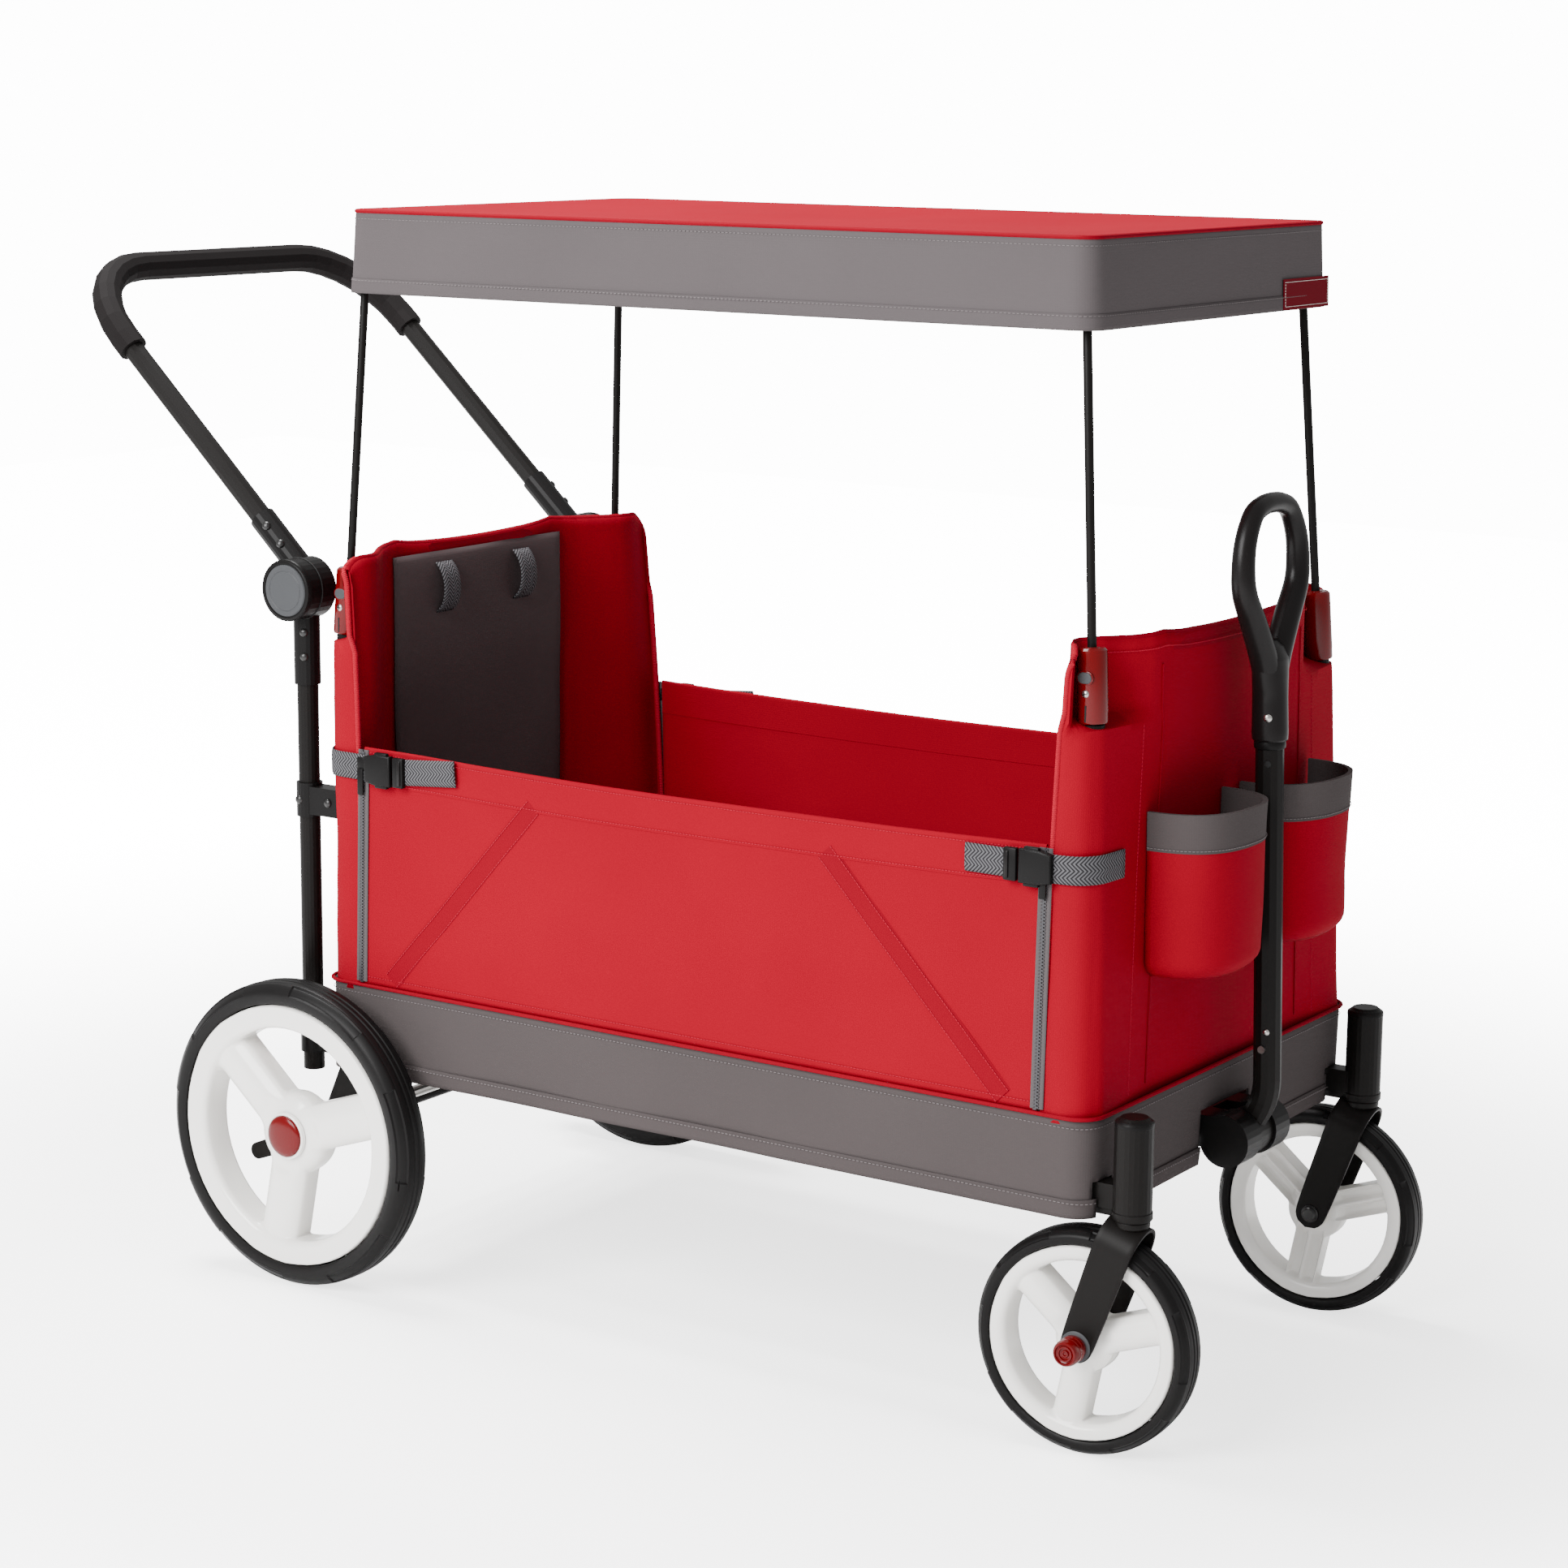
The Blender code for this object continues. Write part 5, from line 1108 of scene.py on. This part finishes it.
def ringLine(xRear, xFront, half, corner, z, steps=10):
    # closed plan line with round corners, from the middle of the rear side
    points = [Vector((xRear, 0, z))]
    for cx, cy, start in ((xRear + corner, -half + corner, 180), (xFront - corner, -half + corner, 270),
                          (xFront - corner, half - corner, 0), (xRear + corner, half - corner, 90)):
        turns = [radians(start + 90 * i / steps) for i in range(steps + 1)]
        points += [Vector((cx + corner * cos(t), cy + corner * sin(t), z)) for t in turns]
    return [spot(*p) for p in points + [points[0]]]


def skirtShape(low, high, outset, rows):
    columns = 640
    line = ringLine(skirt["rear"] - outset, skirt["front"] + outset, skirt["half"] + outset,
                    skirt["corner"] + outset, 0)
    points = evenly(line, columns + 1)
    total = lineLength(line)

    def place(u, v):
        p = points[round(u * columns)].copy()
        z = low + (high - low) * v
        wave = (1 - v) * (0.001 + wrinkle((p.x, p.y, 0), 7, 0.00256))
        p += (spot(0, 0, 0) - p).normalized() * (0.0017 + wave + wrinkle((p.x, p.y, z), 22, 0.0006))
        return Vector((p.x, p.y, z))

    return gridShape(columns, rows, place, (total, high - low))


# room left in the skirt: its end of the wagon, the least and most |y|, and its top
skirtGaps = {"caster arms": (1, 0.211, 0.236, 0.2475), "handle barrel": (1, -1, 0.045, 0.265),
             "low brackets": (-1, 0.198, 0.2345, 0.260)}
gapX, stitchGapTop = 0.40, 0.262


def inGap(point, gapTop=None):
    p = point - spot(0, 0, 0)
    return any(p.x * way > gapX and least < abs(p.y) < most and p.z < (gapTop or top)
               for way, least, most, top in skirtGaps.values())


def notched(shape):
    gone = [face for face in shape.faces if inGap(face.calc_center_median())]
    bmesh.ops.delete(shape, geom=gone, context="FACES")
    return shape


skirtCloth = baked(clothPiece("skirt_cloth", notched(skirtShape(skirt["low"], skirt["high"], 0, 14)),
                              "grayCloth",
                              "rear_frame", 0.0022, ["skirt"]))
skirtHem = baked(clothPiece("skirt_hem", notched(skirtShape(skirt["low"] - 0.0004, skirt["low"] + 0.0165,
                                                            0.0013, 4)),
                            "grayCloth", "rear_frame", 0.0012))


def skirtRing(out, z):
    return evenly(ringLine(skirt["rear"] - out, skirt["front"] + out, skirt["half"] + out, skirt["corner"],
                           z), 400)


skirtSeam = piece("skirt_seam", ropeShape(skirtRing(0.0012, skirt["seam"]), 0.0019, 8), "hemBinding",
                  "rear_frame")
centre = spot(0, 0, 0)
stitchRings = []
for k, (z, out) in enumerate(((0.2935, 0.0006), (skirt["low"] + 0.0135, 0.0016))):
    shape = stitchShape(skirtRing(out, z), lambda p: (p.x - centre.x, (p.y - centre.y) * 3, 0), pitch=0.0042)
    bmesh.ops.delete(shape, geom=[v for v in shape.verts if inGap(v.co, stitchGapTop)], context="VERTS")
    stitchRings.append(piece(f"skirt_stitches_{k}", shape, "grayThread", "rear_frame"))
squashed([skirtCloth, skirtHem, skirtSeam] + stitchRings)
print("skirt made")


# bottle pockets
pocket = {"y": 0.085, "half": 0.0695, "depth": 0.0645, "low": 0.409, "high": 0.5555, "back": 0.4318,
          "hem": 0.034}


def pocketPoint(sign, t, z, shrink=0.0):
    # t runs from -1 to 1 round the pocket's front, z up it; it narrows a little towards its floor
    share = (z - pocket["low"]) / (pocket["high"] - pocket["low"])
    wide = 0.965 + 0.035 * share
    angle = t * pi / 2
    square = 0.80      # under 1, it is fuller at the corners than an oval
    x = (abs(cos(angle)) ** square) * (pocket["depth"] * wide - shrink)
    y = (abs(sin(angle)) ** square) * (pocket["half"] * (0.985 + 0.015 * share) - shrink)
    point = spot(pocket["back"] + x, sign * pocket["y"] + (y if t > 0 else -y), z)
    return point + Vector((wrinkle(point, 14, 0.0024), 0, 0)) * min(share * 3, 1)


tall = pocket["high"] - pocket["low"]

for side, sign in sides.items():
    def wall(u, v, sign=sign):
        rounded = 0.010 * max(1 - v * tall / 0.014, 0) ** 2
        return pocketPoint(sign, 2 * u - 1, pocket["low"] + tall * v, rounded)

    def band(u, v, sign=sign):
        t, drop = 2 * v - 1, pocket["hem"]
        z = pocket["high"] + 0.0004 - max(abs(t) - 0.1, 0) / 0.9 * drop
        return pocketPoint(sign, 2 * u - 1, z, -0.0014 if t < -0.05 else 0.0028 if t > 0.05 else 0.0007)

    node = f"bottle_pocket_{side}"
    clothWall = clothPiece(f"{node}_cloth", gridShape(60, 34, wall, (0.205, tall)), "redCloth", "front_frame",
                           0.0018,
                           [node])
    hemBand = piece(f"bottle_pocket_{side}_hem", gridShape(60, 22, band, (0.205, 0.07)), "grayCloth",
                    "front_frame", angle=60)
    rim = [pocketPoint(sign, t / 30 - 1, pocket["high"] - pocket["hem"] + 0.003, -0.0020) for t in range(61)]
    root = spot(pocket["back"], sign * pocket["y"], 0)
    rimStitch = piece(f"bottle_pocket_{side}_stitches", stitchShape(rim, lambda p, root=root: (p.x - root.x,
                      p.y - root.y, 0)), "grayThread", "front_frame")
    ring = [pocketPoint(sign, t / 16 - 1, pocket["low"] + 0.0012, 0.0095) for t in range(33)]
    mid = spot(pocket["back"] + 0.03, sign * pocket["y"], pocket["low"] + 0.0004)
    net = plateShape([(p.x - mid.x, p.y - mid.y) for p in ring], 0.0014, Matrix.Translation(mid))
    netPiece = piece(f"bottle_pocket_{side}_net", net, "netCloth", "front_frame")
print("pockets made")


# floor mat
for end in ("rear", "front"):
    low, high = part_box(f"floor_board_{end}")
    mat = softBox((high.x - low.x - 0.001, high.y - low.y - 0.001, high.z - low.z), (low + high) / 2, 0.0045,
                  4)
    matPiece = piece(f"floor_mat_{end}", mat, "matCloth", f"floor_{end}", [f"floor_board_{end}"])
    inset = 0.011
    xs, ys = (low.x + inset, high.x - inset), (low.y + inset, high.y - inset)
    edge = [Vector((xs[i], ys[j], high.z + 0.0003)) for i, j in ((0, 0), (1, 0), (1, 1), (0, 1), (0, 0))]
    piece(f"floor_mat_stitches_{end}", stitchShape(edge, lambda p: (0, 0, 1), pitch=0.005, length=0.0034),
          "grayThread", f"floor_{end}")
print("floor mat made")


# canopy
canopy = {"rear": -0.4060, "front": 0.4000, "half": 0.2210, "low": 0.9692, "high": 1.0462, "flare": 0.0035,
          "corner": 0.018, "sag": 0.0065}
topFlat, valanceFlat = (0.806, 0.442), (2.49, 0.077)


def canopyLine(z):
    share = (canopy["high"] - z) / (canopy["high"] - canopy["low"])
    out = canopy["flare"] * share
    return ringLine(canopy["rear"] - out, canopy["front"] + out, canopy["half"] + out, canopy["corner"] + out,
                    z)


def outOfCanopy(p):
    return Vector((p.x - centre.x, (p.y - centre.y) * 2.2, 0))


def valance(low, high, lift, rows):
    columns = 520
    lines = [evenly(canopyLine(low + (high - low) * j / rows), columns + 1) for j in range(rows + 1)]

    def place(u, v):
        p = lines[round(v * rows)][round(u * columns)]
        loose = 1 - (p.z - canopy["low"]) / (canopy["high"] - canopy["low"])
        ripple = wrinkle((p.x * 0.6, p.y, 3), 8, 0.0026) * loose
        return p + outOfCanopy(p).normalized() * (lift - 0.0004 + ripple)

    return gridShape(columns, rows, place, (valanceFlat[0], high - low))


def topPlace(u, v):
    x = canopy["rear"] + (canopy["front"] - canopy["rear"]) * u
    y = canopy["half"] * (2 * v - 1)
    corner = canopy["corner"]
    nearX = max(canopy["rear"] + corner - x, x - canopy["front"] + corner, 0)
    nearY = max(abs(y) - canopy["half"] + corner, 0)
    if nearX and nearY and hypot(nearX, nearY) > corner:
        pull = corner / hypot(nearX, nearY)
        x += (nearX - nearX * pull) * (1 if x < 0 else -1)
        y += (nearY - nearY * pull) * (-1 if y > 0 else 1)
    edge = min(4 * u * (1 - u), 1) * min(4 * v * (1 - v), 1)
    ripple = wrinkle((x, y, 0), 7, 0.0022) * min(edge * 4, 1)
    return spot(x, y, canopy["high"] + 0.0004 - canopy["sag"] * edge ** 0.7 + ripple)


canopyTop = baked(clothPiece("canopy_top", gridShape(110, 66, topPlace, topFlat), "redCloth", "canopy",
                             0.0018,
                             ["canopy"]))
canopySkirt = baked(clothPiece("canopy_valance", valance(canopy["low"], canopy["high"], 0, 16), "canopyCloth",
                               "canopy", 0.0018))
canopyHem = baked(clothPiece("canopy_hem", valance(canopy["low"] - 0.0002, canopy["low"] + 0.0135, 0.0013, 4),
                             "canopyCloth", "canopy", 0.0010))
topSeam = piece("canopy_top_seam", ropeShape(evenly(canopyLine(canopy["high"] - 0.0006), 420), 0.0019, 8),
                "hemBinding", "canopy")
canopyRows = []
for k, (z, out) in enumerate(((canopy["low"] + 0.0118, 0.0023), (canopy["high"] - 0.0075, 0.0010))):
    line = [p + outOfCanopy(p).normalized() * out for p in evenly(canopyLine(z), 420)]
    canopyRows.append(piece(f"canopy_stitches_{k}", stitchShape(line, outOfCanopy, pitch=0.0042),
                            "grayThread", "canopy"))

plainLabel = {"half": 0.046, "tall": 0.0140, "border": 0.003, "thick": 0.0008}


def labelCorners(inset):
    half, tall = plainLabel["half"] - inset, plainLabel["tall"] - inset
    return [(-half, -tall), (half, -tall), (half, tall), (-half, tall)]


labelPlace = facing(spot(canopy["front"] + 0.0040, 0.171, 0.9835), (1, 0, 0.03))
label = piece("canopy_label", plateShape(labelCorners(0), plainLabel["thick"], labelPlace, 0.0002, 1),
              "labelCloth", "canopy")
corners = labelCorners(plainLabel["border"])
frameLine = [labelPlace @ Vector((x, y, 0.0010)) for x, y in corners + corners[:1]]
labelEdge = piece("canopy_label_stitches", stitchShape(frameLine, lambda p: (1, 0, 0), 0.0026, 0.0018,
                  0.0005), "labelThread", "canopy")
squashed([canopyTop, canopySkirt, canopyHem, topSeam, label, labelEdge] + canopyRows)
print("canopy made")


# pull handle grip
grip = {"top": 0.8235, "half": 0.0640, "limb": 0.0109}
# the straight stretch of the outer tube
tubeLow, tubeHigh = spot(0.4775, 0, 0.295), spot(0.468, 0, 0.600)
lean = (tubeHigh - tubeLow).normalized()


def gripAt(y, up):
    return tubeHigh + lean * up + Vector((0, y, 0))


def limbSize(share):
    # thicker where the limbs leave the neck and across the crown
    return grip["limb"] * (1.0 + 0.16 * cos(2 * pi * share))


loopHalf = grip["half"] - grip["limb"] * 1.02
loopTop = grip["top"] - tubeHigh.z - grip["limb"] * 1.16
half = [(0.0050, 0.056), (0.0150, 0.078), (0.0330, 0.108), (loopHalf - 0.003, 0.135), (loopHalf, 0.156),
        (loopHalf - 0.004, 0.180), (loopHalf * 0.66, loopTop - 0.0085), (loopHalf * 0.33, loopTop - 0.0015),
        (0, loopTop)]
outline = [gripAt(y, up) for y, up in half] + [gripAt(-y, up) for y, up in reversed(half[:-1])]
loop = tubeShape(evenly(smoothLine(outline, 10), 90), limbSize, Vector((1, 0, 0)), 24)
piece("pull_grip_loop", loop, "softBlack", "pull_grip", ["pull_grip"], angle=80)
# height, half width and half depth of the neck that holds the inner tube
neckLine = [(0.0, 0.0150, 0.0150), (0.0015, 0.0160, 0.0160), (0.006, 0.0163, 0.0163), (0.040, 0.0168, 0.0156),
            (0.058, 0.0205, 0.0150), (0.074, 0.0245, 0.0140), (0.084, 0.0215, 0.0100), (0.090, 0.010, 0.0050)]


def neckPlace(u, v):
    k = min(int(v * (len(neckLine) - 1)), len(neckLine) - 2)
    t = v * (len(neckLine) - 1) - k
    up, wide, deep = (a + (b - a) * t for a, b in zip(neckLine[k], neckLine[k + 1]))
    angle = 2 * pi * u
    return gripAt(wide * cos(angle), up) + Vector((deep * sin(angle), 0, 0))


neck = gridShape(40, 42, neckPlace)
bmesh.ops.remove_doubles(neck, verts=neck.verts, dist=1e-5)
bmesh.ops.holes_fill(neck, edges=neck.edges)
piece("pull_grip_neck", neck, "softBlack", "pull_grip", angle=60)
for k, up in enumerate((0.022, 0.050)):
    away = Vector((0.35, -1, 0)).normalized()
    piece(f"grip_rivet_{k}", screwHead(gripAt(0, up) + away * 0.0158, away, 0.0040), "zincSteel", "pull_grip")
collar = [(0.0128, 0.0), (0.0140, 0.0006), (0.0143, 0.0040), (0.0140, 0.0075), (0.0104, 0.0082)]
turn = facing(tubeHigh - lean * 0.0075, lean)
piece("pull_tube_collar", shifted(lathe(softened(collar, 0.0006), (0, 0, 0), 1, 40, "Z"), turn),
      "blackPlastic", "pull_handle")
# two small domes on the outer tube: the lower, zinc, is the button showing through its hole; the upper, dark,
# is painted shade standing in for an empty hole
for k, share in enumerate((0.135, 0.935)):
    at = tubeLow.lerp(tubeHigh, share) + Vector((0.004, -0.0121, 0))
    piece(f"pull_tube_button_and_hole_shade_{k}", screwHead(at, (0.3, -1, 0), 0.0030), "zincSteel" if k == 0 else "paintedRecessShade",
          "pull_handle")
print("pull handle made")


# push handle details
for side, sign in sides.items():
    low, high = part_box(f"hub_button_{side}")
    mid = (low + high) / 2
    face = high.y if sign > 0 else low.y
    disc = [(0, 0.0001), (0.0185, 0.0001), (0.0195, -0.0005), (0.0205, 0.0001), (0.0245, 0.0001),
            (0.0254, -0.0010),
            (0.0254, -0.0055)]
    piece(f"hub_button_{side}_disc", lathe(disc, (mid.x, face, mid.z), sign, 56), "grayPlastic",
          f"hub_button_{side}", [f"hub_button_{side}"], angle=25)
    outerY = 0.2466
    rimLine = [(0.0259, -0.0015), (0.0262, 0.0003), (0.0280, 0.0006), (0.0296, -0.0006), (0.0305, -0.0030),
               (0.0305, -0.0060)]
    piece(f"hub_rim_{side}", lathe(rimLine, (mid.x, sign * outerY, mid.z), sign, 56), "blackPlastic",
          "push_handle", angle=50)
    # a thin dark ring in the seam between the two halves of the hub: painted shade in the seam
    split = [(0.0303, 0.0007), (0.0307, 0.0004), (0.0307, -0.0004), (0.0303, -0.0007)]
    piece(f"hub_split_{side}", lathe(split, (mid.x, sign * (outerY - 0.0201), mid.z), sign, 56), "paintedRecessShade",
          "rear_frame")
    # two screws in each sleeve
    hub = spot(-0.4715, sign * 0.2163, 0.680)
    start = hub + Vector((0.0135, 0, 0))
    arm = (spot(-0.779, start.y, 0.976) - start).normalized()
    for k, reach in enumerate((0.056, 0.080)):
        at = start + arm * reach + Vector((0.0055, sign * 0.0118, 0.0045))
        away = Vector((0.42, sign * 0.9, 0.36))
        piece(f"arm_screw_{k}_{side}", screwHead(at, away, 0.0042), "darkScrew", "push_handle")
        at = hub + Vector((0.0060, sign * 0.0116, -(0.043 + 0.024 * k)))
        piece(f"upright_screw_{k}_{side}", screwHead(at, (0.45, sign, 0), 0.0042), "darkScrew", "rear_frame")
    for name in ("upright_clamp", "low_bracket"):
        low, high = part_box(f"{name}_{side}")
        y = high.y if sign > 0 else low.y
        for k, x in enumerate((low.x + 0.010, low.x + 0.045)):
            at = Vector((x, y - sign * (0.0004 if k == 0 else 0.0024), (low.z + high.z) / 2))
            piece(f"{name}_screw_{k}_{side}", screwHead(at, (0, sign, 0), 0.0045), "darkScrew", "rear_frame")
print("push handle details made")


# finish of the CAD pieces that are shown as they are
shownNodes = {
    "powderCoat": ["rear_frame", "front_frame", "push_bar", "pull_inner_tube", "pull_outer_tube",
                   "brake_bar"],
    "zincSteel": ["rear_axle", "snap_button"], "foamRubber": ["foam_grip"],
    "blackPlastic": ["pull_pivot_housing"],
}
for side in sides:
    shownNodes["powderCoat"].append(f"push_upright_{side}")
    for name in ("arm_hub", "post_hub", "low_bracket", "upright_clamp"):
        shownNodes["blackPlastic"].append(f"{name}_{side}")
for look, nodes in shownNodes.items():
    for node in nodes:
        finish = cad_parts[node].data.materials
        finish.clear()
        finish.append(looks[look])
print("handles finished")


# stage
floorShape = bmesh.new()
bmesh.ops.create_grid(floorShape, x_segments=1, y_segments=1, size=6)
floorMesh = bpy.data.meshes.new("floor")
floorShape.to_mesh(floorMesh)
floorShape.free()
floor = bpy.data.objects.new("studio_floor", floorMesh)
bpy.context.scene.collection.objects.link(floor)
paper, paperTree, paperShader = newLook("white_studio_paper", "#ffffff", 0.95, Specular_IOR_Level=0.0)
# the paper glows more the further it is from the wagon, so that it meets the white room without an edge
view = addNode(paperTree, "ShaderNodeLightPath")
where = addNode(paperTree, "ShaderNodeTexCoord")
far = addNode(paperTree, "ShaderNodeVectorMath", {"operation": "LENGTH"}, {0: where.outputs["Object"]})
glow = addNode(paperTree, "ShaderNodeMapRange", {"From Min": 0.7, "From Max": 2.4, "To Min": 2.2,
                                                 "To Max": 14.0,
                                                 "interpolation_type": "SMOOTHSTEP"},
                                                 {0: far.outputs["Value"]})
lift = addNode(paperTree, "ShaderNodeMath", {"operation": "MULTIPLY"},
               {0: glow.outputs[0], 1: view.outputs["Is Camera Ray"]})
paperShader.inputs["Emission Color"].default_value = (1, 1, 1, 1)
paperTree.links.new(lift.outputs[0], paperShader.inputs["Emission Strength"])
floorMesh.materials.append(paper)


def areaLight(name, place, aim, size, power):
    light = bpy.data.lights.new(name, "AREA")
    light.shape = "RECTANGLE"
    light.size, light.size_y = size
    light.energy = power
    lamp = bpy.data.objects.new(name, light)
    bpy.context.scene.collection.objects.link(lamp)
    lamp.location = place
    lamp.rotation_euler = (Vector(aim) - Vector(place)).to_track_quat("-Z", "Y").to_euler()


areaLight("key_soft", (-0.4, -3.4, 2.4), (0, 0, 0.45), (2.4, 2.4), 320)
areaLight("top_soft", (-1.1, 0.1, 3.5), (0, 0, 0.3), (1.3, 1.3), 250)
world = bpy.data.worlds.new("white_room")
world.use_nodes = True
room = world.node_tree
backdrop = room.nodes["Background"]
backdrop.inputs["Color"].default_value = (1, 1, 1, 1)
seen = addNode(room, "ShaderNodeLightPath")
glow = addNode(room, "ShaderNodeMapRange", {"To Min": 0.8, "To Max": 14.0},
               {0: seen.outputs["Is Camera Ray"]})
room.links.new(glow.outputs[0], backdrop.inputs["Strength"])
bpy.context.scene.world = world

print("stage made")

# camera
azimuth, elevation, roll = radians(34.0933), radians(-11.1333), radians(0.4732)
ahead = Vector((-sin(azimuth) * cos(elevation), cos(azimuth) * cos(elevation), sin(elevation)))
right = Vector((cos(azimuth), sin(azimuth), 0))
up = right.cross(ahead)
rightRolled = right * cos(roll) + up * sin(roll)
upRolled = rightRolled.cross(ahead)
eye = spot(1.879, -2.853, 1.177)
lens = bpy.data.cameras.new("studio_camera")
lens.lens = 82.96
lens.sensor_width = 36
lens.clip_start = 0.01
camera = bpy.data.objects.new("studio_camera", lens)
bpy.context.scene.collection.objects.link(camera)
camera.matrix_world = axes(rightRolled, upRolled, -ahead, eye)
bpy.context.scene.camera = camera
